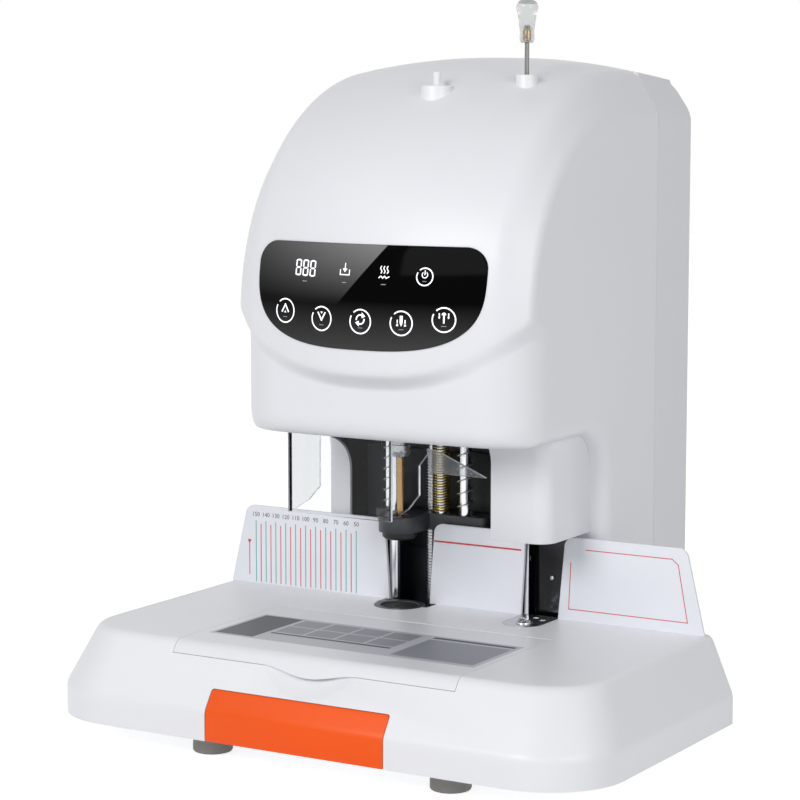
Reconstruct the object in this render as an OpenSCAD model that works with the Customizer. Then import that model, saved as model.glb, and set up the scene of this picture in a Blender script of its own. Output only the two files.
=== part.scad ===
// Desk-top document riveting machine: base, fence, drill station, rivet station and lofted head.
// Millimetres. +Z up, front of the machine at -Y, origin on the floor at the centre of its box.

/* [Base] */
// Half width of the base at the floor side
base_hw = 240.5; // [225:0.5:255]
// Depth of the base in front of the origin
base_front = 202; // [190:1:215]
// Back face of the full width part of the base
base_back = 50; // [50:1:50]
// Underside of the base moulding
base_z = 22; // [18:1:26]
// Height where the walls start to lean in
kink_z = 45; // [40:1:50]
// Height of the table
table_z = 90; // [90:1:90]
// Plan radius of the front corners
base_r = 62; // [50:1:80]
// Wall of the mouldings
wall = 3; // [2.5:0.1:3.5]

/* [Table and stations] */
// Front face of the paper fence
fence_y = 40; // [40:1:40]
// Height of the fence above the table
fence_h = 67; // [55:1:70]
// Centre of the drill station, x
drill_x = -44; // [-44:1:-44]
// Centre of the drill station, y
drill_y = 25; // [25:1:25]
// Centre of the rivet station, x
rivet_x = 76.6; // [76.6:0.1:76.6]
// Centre of the rivet station, y
rivet_y = 14; // [14:1:14]
// Half width of the flip lid in the table
lid_hw = 124; // [110:1:126]
// Hinge line of the flip lid, y
lid_y = -29; // [-35:1:-27]
// Half width of the chip drawer front
drawer_hw = 78; // [70:1:84]

/* [Head] */
// Half width of the body and head
body_hw = 131; // [126:1:134]
// Front face of the neck under the head
neck_y = 50; // [50:1:50]
// Joint line between front and rear shell
seam_y = 134.7; // [130:0.1:138]
// Back face of the rear shell
back_y = 200; // [190:1:210]
// Underside of the head
head_z = 242; // [242:1:242]
// Crest height of the head over the floor
crest_z = 532.4; // [520:0.1:540]
// Exponent of the head's side profile
head_pow = 2.25; // [2:0.05:2.6]

/* [Mechanism] */
// Travel of the drill carriage
feed_travel = 54; // [40:1:54]
// Free lift of the presser under its springs
press_lift = 45; // [30:1:45]
// Radius of the guide columns
column_r = 4.5; // [4:0.1:5]
// Running clearance of bores on rods
run_gap = 0.05; // [0.02:0.01:0.09]
// Wire diameter of the gold press spring
gold_wire = 1.15; // [1:0.05:1.2]
// Turns of the gold press spring
gold_turns = 48; // [30:1:48]
// Turns of the two open springs
open_turns = 10; // [6:1:12]

/* [Hidden] */

// Heights in the mechanism
foot_z = 145;
bar_z = 151;
bar_top = 164;
cross_z = 270;
cross_top = 284;
bridge_z = 354;
bridge_top = 364;
column_l = [-62, 48];
column_rt = [2.4, 51];
screw_at = [-35, 62];
screw_r = 4.6;
screw_top = 286;
rod_l = [-71.5, 54];
rod_m = [-19.5, 51];
rod_l_r = 2.5;
rod_m_r = 4.5;
board_y = -84;

// ---- helpers ----
function arc(cx, cy, r, a0, a1, n = 8) =
  [for (i = [0:n]) let (a = a0 + (a1 - a0) * i / n) [cx + r * cos(a), cy + r * sin(a)]];
function round_box(x0, x1, y0, y1, r, n = 6) = concat(
  arc(x1 - r, y0 + r, r, -90, 0, n), arc(x1 - r, y1 - r, r, 0, 90, n),
  arc(x0 + r, y1 - r, r, 90, 180, n), arc(x0 + r, y0 + r, r, 180, 270, n));
function mix(a, b, t) = a + (b - a) * t;
function smooth(t) = let (c = min(1, max(0, t))) c * c * (3 - 2 * c);
function bezier(p, q, r, t) = p * (1 - t) * (1 - t) + q * 2 * t * (1 - t) + r * t * t;
function at_z(pts, z) = [for (p = pts) [p[0], p[1], z]];

// Closed solid through rings with the same number of points, capped at both ends
module skin(rings) {
  n = len(rings[0]);
  m = len(rings);
  polyhedron(
    points = [for (r = rings) each r],
    faces = concat(
      [[for (i = [0:n - 1]) i]],
      [for (j = [0:m - 2], i = [0:n - 1]) let (k = (i + 1) % n)
        each [[j * n + i, (j + 1) * n + i, (j + 1) * n + k], [j * n + i, (j + 1) * n + k, j * n + k]]],
      [[for (i = [n - 1:-1:0]) (m - 1) * n + i]]),
    convexity = 10);
}

module at(p, z = 0) translate([p[0], p[1], z]) children();
module box(a, b) translate(a) cube(b - a);
module tube(p, z0, z1, ro, ri, n = 64) at(p, z0) difference() {
  cylinder(r = ro, h = z1 - z0, $fn = n);
  translate([0, 0, -1]) cylinder(r = ri, h = z1 - z0 + 2, $fn = n);
}
module rod(p, z0, z1, r, n = 64) at(p, z0) cylinder(r = r, h = z1 - z0, $fn = n);

// ---- base ----
// Rings of the base form: height, half width, front reach, corner radius, and how much of an offset lowers it
base_rings = [
  [base_z, base_hw, base_front, base_r, 0],
  [kink_z, base_hw, base_front, base_r, 0.4],
  [table_z - 4.7, base_hw - 17, base_front - 27.2, base_r - 15, 0.5],
  [table_z - 1.2, base_hw - 19.6, base_front - 30.7, base_r - 17, 0.9],
  [table_z, base_hw - 23.3, base_front - 34.6, base_r - 20, 1]];
function base_plan(hw, front, back, r, n = 10) = concat(
  arc(-hw + r, -front + r, r, 180, 270, n), arc(hw - r, -front + r, r, 270, 360, n),
  [[hw, back], [-hw, back]]);
module base_form(d) skin([for (b = base_rings)
  at_z(base_plan(b[1] - d, b[2] - d, base_back - d, b[3] - d), b[0] - (b[4] > 0 ? b[4] * d : min(d, 1)))]);
module base_skin(d0, d1) difference() {
  base_form(d0);
  base_form(d1);
}
lip_z = table_z - 9.5;
tongue = 5.3;
tongue_hw = 42;
lid_gap = 0.4;
// The lid's outline from the front, with a tongue in the lip over the finger scoop
module lid_zone(g = 0) translate([0, lid_y + g, 0]) rotate([90, 0, 0])
  linear_extrude(lid_y + g + base_front) polygon(concat(
    [for (i = [-8:8]) [i / 8 * tongue_hw, lip_z - g - tongue * (1 + cos(i * 22.5)) / 2]],
    [[lid_hw + g, lip_z - g], [lid_hw + g, table_z + 1], [-lid_hw - g, table_z + 1], [-lid_hw - g, lip_z - g]]));
// A ball in front of the slope leaves a shallow dish under the tongue
scoop_ball = 150;
scoop_centre = [0, -283.2, 179.3];
module finger_scoop(g = 0) translate(scoop_centre) sphere(r = scoop_ball + g, $fn = 180);
tray_x = 112;
tray_y0 = -158;
tray_y1 = -40;
tray_z = 63;
module tray_block(g) box([-tray_x - g, tray_y0 - g, tray_z - g], [tray_x + g, tray_y1 + g, table_z - wall - lid_gap]);
module drill_cut() {
  rod([drill_x, drill_y], 80, table_z + 1, 21);
  box([-67, drill_y, 80], [-18.5, base_back + 1, table_z + 1]);
}
module rivet_cut() {
  rod([rivet_x, rivet_y], 80, table_z + 1, 16.6);
  box([rivet_x - 16.6, rivet_y, 80], [rivet_x + 16.6, base_back + 1, table_z + 1]);
}
post_spots = [[-200, -100], [200, -100], [-200, 20], [200, 20], [-110, 170], [110, 170]];
module base_shell() color([0.91, 0.91, 0.94]) {
  difference() {
    union() {
      base_skin(0, wall);
      intersection() {
        base_skin(wall - 0.5, 2 * wall + lid_gap);
        box([-lid_hw - 4, -base_front, lip_z - tongue - 4], [lid_hw + 4, lid_y + 4, table_z]);
      }
      intersection() {
        base_form(0);
        finger_scoop(wall);
      }
      tray_block(wall);
      // tail under the body
      difference() {
        box([-body_hw, base_back, base_z], [body_hw, back_y, 60]);
        box([-body_hw + wall, base_back - 1, base_z - 1], [body_hw - wall, back_y - wall, 61]);
      }
      for (p = post_spots) rod(p, base_z + 2.5, p[1] < 50 ? table_z - wall : 60, 5, 24);
      for (s = [-1, 1]) box([s * 114 - 14, 166, 40], [s * 114 + 14, 174, 60]);
    }
    difference() {
      lid_zone(lid_gap);
      base_form(wall + lid_gap);
    }
    finger_scoop();
    tray_block(0);
    translate([0, 0, 20]) tray_block(0);
    drill_cut();
    rivet_cut();
    rod(column_rt, 80, table_z + 1, 6.5);
    hinge_bore(lid_pin_r);
    // passage to the tail, and the drawer mouth
    box([-124, base_back - 8, base_z - 1], [124, base_back + 1, table_z - wall]);
    box([-drawer_hw - 0.5, -base_front - 1, base_z - 1], [drawer_hw + 0.5, -base_front + 40, 60.5]);
  }
}
module base_plate() color([0.55, 0.56, 0.58]) difference() {
  translate([0, 0, base_z]) linear_extrude(2.5) difference() {
    union() {
      polygon(base_plan(base_hw - wall - 0.5, base_front - wall - 3, base_back - wall - 0.5, base_r - 5));
      translate([-124, 0]) square([248, back_y - wall - 0.5]);
    }
    for (p = post_spots) translate(p) circle(r = 2, $fn = 24);
  }
}
foot_spots = [[-106, -152], [106, -152], [-106, 160], [106, 160]];
module rubber_feet() color([0.51, 0.51, 0.5]) for (p = foot_spots) at(p)
  rotate_extrude($fn = 48) polygon(concat(
    [[0, 3], [6, 3], [6, 0]], arc(14, 1.5, 1.5, -90, 0, 4), [[15, base_z], [0, base_z]]));

// ---- flip lid, drawer ----
lid_pin_r = 0.7;
lid_axis_y = lid_y - wall / 2;
lid_axis_z = table_z - wall / 2;
module hinge_bore(r) for (s = [-1, 1]) translate([s * 121 - 6.5, lid_axis_y, lid_axis_z]) rotate([0, 90, 0])
  cylinder(r = r, h = 13, $fn = 32);
module table_lid() color([0.93, 0.93, 0.96]) difference() {
  union() {
    intersection() {
      base_skin(0, wall);
      difference() {
        lid_zone();
        box([-lid_hw - 1, lid_axis_y, 80], [lid_hw + 1, 0, 100]);
      }
    }
    translate([-lid_hw, lid_axis_y, lid_axis_z]) rotate([0, 90, 0]) cylinder(r = wall / 2, h = 2 * lid_hw, $fn = 32);
  }
  hinge_bore(lid_pin_r + run_gap);
}
module lid_hinge_pin() color([0.75, 0.76, 0.78]) hinge_bore(lid_pin_r);
module chip_drawer() color([0.95, 0.38, 0.15]) {
  intersection() {
    base_skin(0, wall);
    box([-drawer_hw, -base_front - 1, base_z], [drawer_hw, -base_front + 30, 60]);
  }
  difference() {
    box([-drawer_hw + 6, -base_front + wall, base_z + 3.5], [drawer_hw - 6, -25, 57]);
    box([-drawer_hw + 8, -base_front + 18, base_z + 5.5], [drawer_hw - 8, -27, 58]);
    difference() {
      box([-100, -base_front - 1, base_z], [100, -base_front + 30, 60]);
      base_form(wall);
    }
  }
}

// ---- fence ----
fence_t = 3;
module fence_plate(xl0, xl1, xr0, xr1, rl, rr) translate([0, fence_y + fence_t, table_z]) rotate([90, 0, 0])
  linear_extrude(fence_t) polygon(concat([[xl0, 0], [xr0, 0]],
    arc(xr1 - rr, fence_h - rr, rr, 5, 90, 6), arc(xl1 + rl, fence_h - rl, rl, 90, 175, 6)));
module fence_left() color([0.86, 0.87, 0.92]) {
  fence_plate(-220, -206, -62.8, -66.9, 9, 8);
  box([-200, fence_y + fence_t, table_z], [-90, fence_y + 7, table_z + 4]);
}
module fence_middle() color([0.86, 0.87, 0.92]) {
  fence_plate(-24.5, -20.4, 60.1, 64, 8, 2);
  box([-12, fence_y + fence_t, table_z], [28, fence_y + 5, table_z + 4]);
}
module fence_right() color([0.86, 0.87, 0.92]) {
  fence_plate(93.3, 98.8, 220, 206, 8, 9);
  box([110, fence_y + fence_t, table_z], [200, fence_y + 7, table_z + 4]);
}

// ---- drill station in the table ----
module pad_cup() color([0.2, 0.2, 0.21]) at([drill_x, drill_y]) rotate_extrude($fn = 72) polygon([
  [0, 64], [20.8, 64], [20.8, 83], [24, 83], [24, table_z - wall], [20.8, table_z - wall],
  [20.8, table_z - 0.6], [20.2, table_z], [16.2, table_z], [15.6, table_z - 0.6], [15.6, 84],
  [13, 84], [13, 67], [0, 67]]);
module cutting_pad() color([0.12, 0.12, 0.13]) rod([drill_x, drill_y], 84, 88.8, 15.6, 72);

// ---- rivet station in the table ----
module anvil_plate() color([0.8, 0.81, 0.83]) {
  difference() {
    union() {
      rod([rivet_x, rivet_y], 87.5, table_z, 16.2);
      box([rivet_x - 16.2, rivet_y, 87.5], [rivet_x + 16.2, 46, table_z]);
    }
    rod([rivet_x, rivet_y], 80, 95, 6);
    for (p = [[-9, 15], [9, 15], [0, 21]]) at([rivet_x + p[0], rivet_y + p[1]], 80) cylinder(r = 2.6, h = 15, $fn = 32);
  }
  box([rivet_x - 16.1, 44.5, table_z], [rivet_x - 12.1, 46, 161]);
}
module lower_anvil() color([0.7, 0.7, 0.72]) at([rivet_x, rivet_y]) rotate_extrude($fn = 64) polygon([
  [0, 82], [9, 82], [9, 87.5], [6, 87.5], [6, 90.6], [5.2, 91.4], [2.6, 90.8], [1.6, 91.4], [0, 91.4]]);
module anvil_arm() color([0.08, 0.08, 0.09]) difference() {
  box([60, -6, 46], [94, base_back + 2, 82]);
  rod([rivet_x, rivet_y], 40, 90, 3, 32);
}
module rivet_post() color([0.06, 0.06, 0.07]) union() {
  box([66, base_back + 2, base_z + 2.5], [98, 72, bridge_z]);
}
module rivet_arm() color([0.1, 0.1, 0.11]) difference() {
  linear_extrude_z([[62, -4], [94, -4], [98, 10], [98, base_back + 2], [62, base_back + 2]], 250, 292);
  rod([rivet_x, rivet_y], 240, 300, ram_r + run_gap);
}
module linear_extrude_z(pts, z0, z1) translate([0, 0, z0]) linear_extrude(z1 - z0) polygon(pts);

// ---- frame inside ----
module column_base() color([0.35, 0.36, 0.38]) difference() {
  box([-84, 36, base_z + 2.5], [58, 78, 60]);
  rod(column_l, 30, 61, column_r);
  rod(column_rt, 30, 61, column_r);
  rod(screw_at, 20, 61, 13.5);
}
module column(p) color([0.85, 0.86, 0.88]) rod(p, 30, bridge_top, column_r);
module left_column() column(column_l);
module right_column() column(column_rt);
module inner_panel() color([0.09, 0.09, 0.1]) difference() {
  box([-104, 73, 60], [64, 75, 212]);
  for (x = [-90, 50]) translate([x, 72, 130]) rotate([-90, 0, 0]) cylinder(r = 2, h = 4, $fn = 24);
}
module back_frame() color([0.4, 0.41, 0.43]) difference() {
  union() {
    box([-122, 126, base_z + 2.5], [122, 129, bridge_top]);
    box([-122, 104, base_z + 2.5], [122, 126, base_z + 5.5]);
    for (x = [-60, 60], z = [170, 310]) translate([x, 129, z]) rotate([-90, 0, 0]) cylinder(r = 3, h = 7, $fn = 24);
  }
  box([-40, 125, 50], [40, 130, 110]);
}
module upper_bridge() color([0.42, 0.43, 0.45]) difference() {
  box([-84, 30, bridge_z], [100, 126, bridge_top]);
  rod(column_l, bridge_z - 1, bridge_top + 1, column_r);
  rod(column_rt, bridge_z - 1, bridge_top + 1, column_r);
  rod([rivet_x, rivet_y], bridge_z - 1, bridge_top + 1, 19);
}
module feed_motor() color([0.3, 0.31, 0.33]) at(screw_at) rotate_extrude($fn = 64) polygon([
  [0, base_z + 2.5], [13.5, base_z + 2.5], [13.5, 56], [10, 58], [0, 58]]);
module lead_screw() color([0.6, 0.6, 0.62]) at(screw_at) rotate_extrude($fn = 64) polygon([
  [0, 58.1], [6, 58.1], [6, 62], [screw_r, 63], [screw_r, screw_top - 1], [screw_r - 1, screw_top], [0, screw_top]]);

// ---- carriage ----
module crosshead() color([0.5, 0.51, 0.53]) difference() {
  linear_extrude_z(round_box(-84, 56, 4, 78, 8), cross_z, cross_top);
  rod(column_l, 260, 290, 7);
  rod(column_rt, 260, 290, 7);
  rod(screw_at, 260, 290, screw_r + 0.6);
  rod([drill_x, drill_y], 260, 290, 14);
  rod(rod_l, 260, 290, rod_l_r + run_gap);
  rod(rod_m, 260, 290, rod_m_r + run_gap);
}
module column_bushes() color([0.72, 0.52, 0.25]) for (p = [column_l, column_rt])
  tube(p, cross_z, cross_top, 7, column_r + run_gap);
module feed_nut() color([0.72, 0.52, 0.25]) at(screw_at) rotate_extrude($fn = 64) polygon([
  [screw_r + run_gap, cross_z - 16], [7, cross_z - 16], [7, cross_z - 4], [9, cross_z - 4], [9, cross_z],
  [screw_r + run_gap, cross_z]]);
housing_top = 288;
module spindle_housing() color([0.62, 0.63, 0.65]) at([drill_x, drill_y]) rotate_extrude($fn = 64) polygon([
  [9, 250], [12, 250], [14, 253], [14, cross_top], [18, cross_top], [18, housing_top], [10, housing_top],
  [10, 253], [9, 253]]);
module spindle_bearings() color([0.78, 0.79, 0.8]) {
  tube([drill_x, drill_y], 253, 259, 10, 6 + run_gap);
  tube([drill_x, drill_y], 282, housing_top, 10, 6 + run_gap);
}
module drill_spindle() color([0.55, 0.56, 0.58]) at([drill_x, drill_y]) rotate_extrude($fn = 64) polygon([
  [3, 212], [6, 212], [8.5, 216], [8.5, 244], [6, 247], [6, housing_top - 0.5], [4, housing_top - 0.1], [4, 302],
  [2, 302], [2, 220], [3, 220]]);
module drill_bit() color([0.72, 0.6, 0.42]) at([drill_x, drill_y]) rotate_extrude($fn = 64) polygon([
  [2.2, 147], [3, 150], [3, 220], [2, 220], [2, 147.5]]);
module drill_motor() color([0.25, 0.26, 0.28]) at([drill_x, drill_y]) rotate_extrude($fn = 64) polygon([
  [4 + run_gap, housing_top], [18, housing_top], [21, housing_top + 3], [22, housing_top + 3], [22, 347], [19, 350],
  [0, 350], [0, 304], [4 + run_gap, 304]]);

// ---- electrics ----
module power_supply() color([0.62, 0.64, 0.66]) difference() {
  box([-60, 140, base_z + 2.5], [60, 190, 76]);
  for (i = [0:9]) box([-47 + i * 10, 139, 40], [-43 + i * 10, 142, 62]);
}
module main_board() color([0.1, 0.35, 0.2]) {
  box([-70, 136, 155], [70, 137.6, 325]);
  for (i = [0:3]) box([-50 + i * 28, 137.6, 180], [-38 + i * 28, 147, 192]);
  rod([30, 145], 270, 300, 7, 32);
}
module display_board() color([0.1, 0.35, 0.2]) box([-80, board_y, 325], [80, board_y + 1.6, 386]);

// ---- presser ----
module press_bar() color([0.22, 0.23, 0.24]) difference() {
  linear_extrude_z(concat(arc(drill_x, drill_y, 17, 180, 360, 16), [[drill_x + 17, 44]],
    arc(18, 50, 6, -90, 0, 4), arc(14, 61, 10, 0, 90, 6), arc(-71, 62, 9, 90, 180, 6), arc(-75, 49, 5, 180, 270, 4),
    [[drill_x - 17, 44]]), bar_z, bar_top);
  rod([drill_x, drill_y], 140, 170, 7);
  rod(column_l, 140, 170, column_r + run_gap);
  rod(column_rt, 140, 170, column_r + run_gap);
  rod(screw_at, 140, 170, screw_r + 1);
  rod(rod_l, 140, 170, rod_l_r);
  rod(rod_m, 140, 170, rod_m_r);
}
module presser_foot() color([0.16, 0.16, 0.17]) at([drill_x, drill_y]) rotate_extrude($fn = 64) polygon([
  [5, foot_z], [12, foot_z], [14, foot_z + 2], [14, bar_z], [5, bar_z]]);
module guide_rod(p, r) color([0.84, 0.85, 0.87]) at(p) rotate_extrude($fn = 64) polygon([
  [0, bar_z], [r, bar_z], [r, cross_top + 0.1], [r + 2.5, cross_top + 0.1], [r + 2.5, cross_top + 4],
  [r, cross_top + 4], [r - 0.8, cross_top + 7], [0, cross_top + 7]]);
module left_rod() guide_rod(rod_l, rod_l_r);
module middle_rod() guide_rod(rod_m, rod_m_r);

// Helical spring: 8 rings to a curl, 6 sides, its ends run straight up for one wire diameter
spring_z0 = bar_top;
spring_z1 = cross_z;
function spring_path(r, wire, turns) = let (n = turns * 8, z0 = spring_z0 + 1.5 * wire, z1 = spring_z1 - 1.5 * wire)
  concat([[r, 0, spring_z0], [r, 0, spring_z0 + wire]],
    [for (i = [1:n - 1]) [r * cos(i * 45), r * sin(i * 45), mix(z0, z1, i / n)]],
    [[r, 0, spring_z1 - wire], [r, 0, spring_z1]]);
function unit(v) = v / norm(v);
function sweep_rings(path, wr) = [for (i = [0:len(path) - 1]) let (
    t = i < 2 || i > len(path) - 3 ? [0, 0, 1] : unit(path[i + 1] - path[i - 1]),
    out = unit([path[i][0], path[i][1], 0]),
    side = unit(cross(t, out)),
    up = cross(side, t))
  [for (k = [0:5]) path[i] + wr * (cos(k * 60) * up + sin(k * 60) * side)]];
module spring(p, r, wire, turns) at(p) skin(sweep_rings(spring_path(r, wire, turns), wire / 2));
module gold_spring() color([0.85, 0.72, 0.3]) spring(rod_m, 6.3, gold_wire, gold_turns);
module left_spring() color([0.7, 0.7, 0.7]) spring(rod_l, 3.9, 0.9, open_turns);
module right_spring() color([0.7, 0.7, 0.7]) spring(column_rt, 6.2, 1, open_turns);

// Least gap between neighbouring turns of a spring, measured on its path
function coil_gap(path, wire) = min([for (i = [2:len(path) - 11]) norm(path[i] - path[i + 8])]) - wire;
echo(gold_gap = coil_gap(spring_path(6.3, gold_wire, gold_turns), gold_wire));
echo(left_gap = coil_gap(spring_path(3.9, 0.9, open_turns), 0.9));
echo(right_gap = coil_gap(spring_path(6.2, 1, open_turns), 1));

// ---- clear guards ----
guard_x0 = -94;
guard_x1 = 1;
guard_y = -63;
guard_t = 2.5;
module guard_flange(x, upper) translate([x, 0, 0]) rotate([90, 0, 90]) linear_extrude(guard_t) polygon(concat(
  [[guard_y, 175], [-35, 181], [-18, 190]], upper, [[guard_y, head_z]]));
module clear_guard() color([0.9, 0.92, 0.95, 0.4]) {
  box([guard_x0, guard_y, 175], [guard_x1, guard_y + guard_t, head_z]);
  guard_flange(guard_x0, [[-18, head_z]]);
  guard_flange(guard_x1 - guard_t, [[-18, 213.5], [0, 224], [0, head_z]]);
}
// Leaning plate glued to the side of the guard, it sends chips away from the rivet station
module chip_deflector() color([0.9, 0.92, 0.95, 0.4]) {
  lower = [[guard_x1, 0, 206], [52, -2, 206], [13, -6.15, 223.5], [guard_x1, -6.5, 226]];
  sheet = [0, -1.9, -0.6];
  skin([lower, [for (p = lower) p + sheet]]);
}

// ---- rivet head ----
cover_x0 = 66.5;
cover_x1 = 116.5;
cover_y = -22;
cover_z = 161;
flare = 22;
function cover_plan(z) = let (s = max(0, (z - head_z + flare) / flare), g = 1 - sqrt(1 - min(1, s) * min(1, s)),
    x1 = cover_x1 + 5 * g, y0 = cover_y - 20 * g, r = 14)
  concat([[cover_x0, y0]], arc(x1 - r, y0 + r, r, -90, 0, 10), [[x1, neck_y], [cover_x0, neck_y]]);
module cover_form() skin([for (z = [cover_z, cover_z + 50, head_z - flare, head_z - 14, head_z - 8, head_z - 4,
  head_z - 1.5, head_z]) at_z(cover_plan(z), z)]);
module rivet_cover() color([0.93, 0.93, 0.95]) difference() {
  cover_form();
  linear_extrude_z(round_box(cover_x0 + 2, cover_x1 - 2.5, cover_y + 2.5, neck_y + 20, 8), cover_z - 1, head_z + 1);
}
ram_r = 6;
module rivet_ram() color([0.82, 0.83, 0.85]) rod([rivet_x, rivet_y], 200, 390, ram_r);
module rivet_heater() color([0.7, 0.71, 0.73]) at([rivet_x, rivet_y]) rotate_extrude($fn = 64) polygon(concat(
  [[0, 178], [6, 178]], [for (i = [0:3]) each [[7.4, 179 + i * 5], [7.4, 182 + i * 5], [6, 182 + i * 5], [6, 184 + i * 5]]],
  [[6, 200], [0, 200]]));
module rivet_punch() color([0.75, 0.6, 0.35]) at([rivet_x, rivet_y]) rotate_extrude($fn = 64) polygon([
  [1.2, 166], [4, 166], [5, 168], [5, 174], [6, 176], [6, 178], [0, 178], [0, 168]]);
module rivet_actuator() color([0.28, 0.29, 0.31]) difference() {
  union() {
    rod([rivet_x, rivet_y], 296, 400, 19);
    box([rivet_x - 14, rivet_y, 300], [rivet_x + 20, base_back + 2, 345]);
  }
  rod([rivet_x, rivet_y], 290, 394, ram_r + run_gap);
}

// ---- head: sections at constant x of a bulged visor over a plain lower face ----
visor_y = 100;            // crest of the side profile, y
visor_a = 208;            // reach of the profile forward of its crest
visor_z = 315;            // centre height of the profile
visor_b = crest_z - visor_z;
crease_x = 112;           // half width where the face turns into the side band
low_y = -95;              // lower front face
low_r = 48;               // its corner radius
lip_low = 296;            // height of the smile shaped lip at the centre
step_h = 16;              // height of the step under the lip
bevel_h = 16;
bevel_w = 9;
function sgn_pow(v, e) = sign(v) * pow(abs(v), e);
function lip_at(x) = lip_low + 13 * pow(x / 80, 2.6);
function low_at(x) = low_y + 2 * pow(min(x, 83) / 83, 2)
  + (x > body_hw - low_r ? low_r - sqrt(max(0, low_r * low_r - pow(x - body_hw + low_r, 2))) : 0);
// Depth of the surface under the centre profile at half width x; s runs 0 at the front to 1 on top
function band_depth(x, s) = let (da = mix(17, 12, s), db = mix(31, 42.4, s),
    p0 = [crease_x - 8, da * pow((crease_x - 8) / crease_x, 2)], p1 = [crease_x, da],
    p2 = mix([crease_x, da], [body_hw, db], 0.4), p3 = mix([crease_x, da], [body_hw, db], 0.72), p4 = [body_hw, db],
    p5 = [body_hw, db + 7])
  x <= p0[0] ? da * pow(x / crease_x, 2)
  : x <= p2[0] ? bezier(p0, p1, p2, solve(p0[0], p1[0], p2[0], x))[1]
  : x <= p3[0] ? mix(p2[1], p3[1], (x - p2[0]) / (p3[0] - p2[0]))
  : bezier(p3, p4, p5, solve(p3[0], p4[0], p5[0], x))[1];
// Parameter of a quadratic curve with ends a, c and middle b where it reaches x
function solve(a, b, c, x) = let (k = a - 2 * b + c)
  abs(k) < 0.001 ? (x - a) / (c - a) : (a - b + sqrt(max(0, (b - a) * (b - a) - k * (a - x)))) / k;
function profile_t(z) = let (v = (z - visor_z) / visor_b) sign(v) * asin(min(1, pow(abs(v), head_pow / 2)));
function visor_pt(x, t, d) = let (e = 2 / head_pow, c = cos(t), s = sin(t),
    ny = pow(c, 2 - e), nz = sgn_pow(s, 2 - e), n = norm([ny, nz]), dep = band_depth(x, max(0, s * s)) + d)
  [visor_y - visor_a * pow(c, e) + dep * ny / n, visor_z + visor_b * sgn_pow(s, e) - dep * nz / n];
function visor_front(x, z) = visor_pt(x, profile_t(z), 0)[0];
columns = [0, 24, 46, 66, 84, 96, 104, 108, 112, 116, 120, 123.5, 126.5, 129, 130.4, 131];
visor_rows = 15;
function head_ring(x, xs, d) = let (ax = abs(x), lip = lip_at(ax), t0 = profile_t(lip),
    lip_pt = visor_pt(ax, t0, d), low = low_at(ax) + d, zs = [0.25, 0.5, 0.75, 1])
  [for (p = concat(
    [[seam_y + (d > 0 ? 1 : 0), visor_pt(ax, 90, d)[1]]],
    [for (i = [0:visor_rows - 1]) visor_pt(ax, mix(90, t0, i / visor_rows), d)], [lip_pt],
    [for (k = zs) [mix(lip_pt[0], low, smooth(k)), lip_pt[1] - step_h * k]],
    [[low, head_z + bevel_h + d * 0.4], [low + bevel_w, head_z + d], [seam_y + (d > 0 ? 1 : 0), head_z + d]]))
    [xs, p[0], p[1]]];
module side_bevel(d) for (s = [-1, 1]) mirror([s < 0 ? 1 : 0, 0, 0]) rotate([90, 0, 0])
  linear_extrude(400, center = true) polygon([[body_hw - edge_w, head_z - 5], [body_hw - edge_w, head_z + d],
    [body_hw - d, head_z + edge_h + d], [body_hw + 5, head_z + edge_h + d], [body_hw + 5, head_z - 5]]);
module head_form(d) {
  k = (body_hw - d) / body_hw;
  signed = concat([for (i = [len(columns) - 1:-1:1]) -columns[i]], columns);
  skin([for (x = signed) head_ring(x, x * k, d)]);
}
fillet_r = 35;
edge_w = 11;
edge_h = 13;
// Side outline of neck and fillet, drawn in by o
function neck_ring(x, o) = [for (p = concat(
    [[seam_y, 60], [seam_y, head_z + 40], [-40, head_z + 40], [-40, head_z + o]],
    [for (i = [0:10]) let (a = 90 - i * 9)
      [neck_y - fillet_r + (fillet_r + o) * cos(a), head_z - fillet_r + (fillet_r + o) * sin(a)]],
    [[neck_y + o, 60]])) [x, p[0], p[1]]];
module neck_form(d) {
  rings = [for (x = [-body_hw + d, -body_hw + edge_w, body_hw - edge_w, body_hw - d])
    [for (p = neck_ring(x, d + (abs(x) > body_hw - edge_w ? edge_h : 0))) p[1] == seam_y
      ? [p[0], p[1] + (d > 0 ? 1 : 0), p[2] == 60 && d > 0 ? 59 : p[2]] : p[2] == 60 && d > 0 ? [p[0], p[1], 59] : p]];
  skin(rings);
}
// Arched mouth of the neck, its left edge sweeping outwards under the head
module neck_mouth() translate([0, neck_y + 10, 0]) rotate([90, 0, 0]) linear_extrude(60) polygon(concat(
  [[102, 59], [102, head_z + 12], [-124, head_z + 12], [-124, 219]],
  [for (i = [0:6]) let (a = i * 15) [-124 + 17.5 * sin(a), 219 - 26 * (1 - cos(a))]], [[-106.5, 59]]));
module front_shell() color([0.95, 0.95, 0.97]) difference() {
  union() {
    difference() {
      head_form(0);
      side_bevel(0);
    }
    neck_form(0);
  }
  difference() {
    head_form(wall);
    side_bevel(wall);
    for (x = [-70, 70], z = [335, 378]) translate([x, board_y, z]) rotate([90, 0, 0]) cylinder(r = 3, h = 25, $fn = 24);
  }
  neck_form(wall);
  neck_mouth();
  box([-88, -50, head_z - 5], [60, neck_y + 5, head_z + 20]);
  box([69.5, -16, head_z - 5], [112, neck_y + 5, head_z + 20]);
  cover_form();
  control_glass();
  rod(tube_at, 480, 540, tube_boss_r);
  rod(pin_at, 480, 540, pin_boss_r);
}
tube_at = [12, -12];
tube_boss_r = 12;
tube_boss_z = 510.5;
pin_at = [76.6, 14];
pin_boss_r = 8.3;
pin_boss_z = 518.7;
module tube_boss() color([0.97, 0.97, 0.98]) tube(tube_at, 492, tube_boss_z, tube_boss_r, 2.9);
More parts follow.
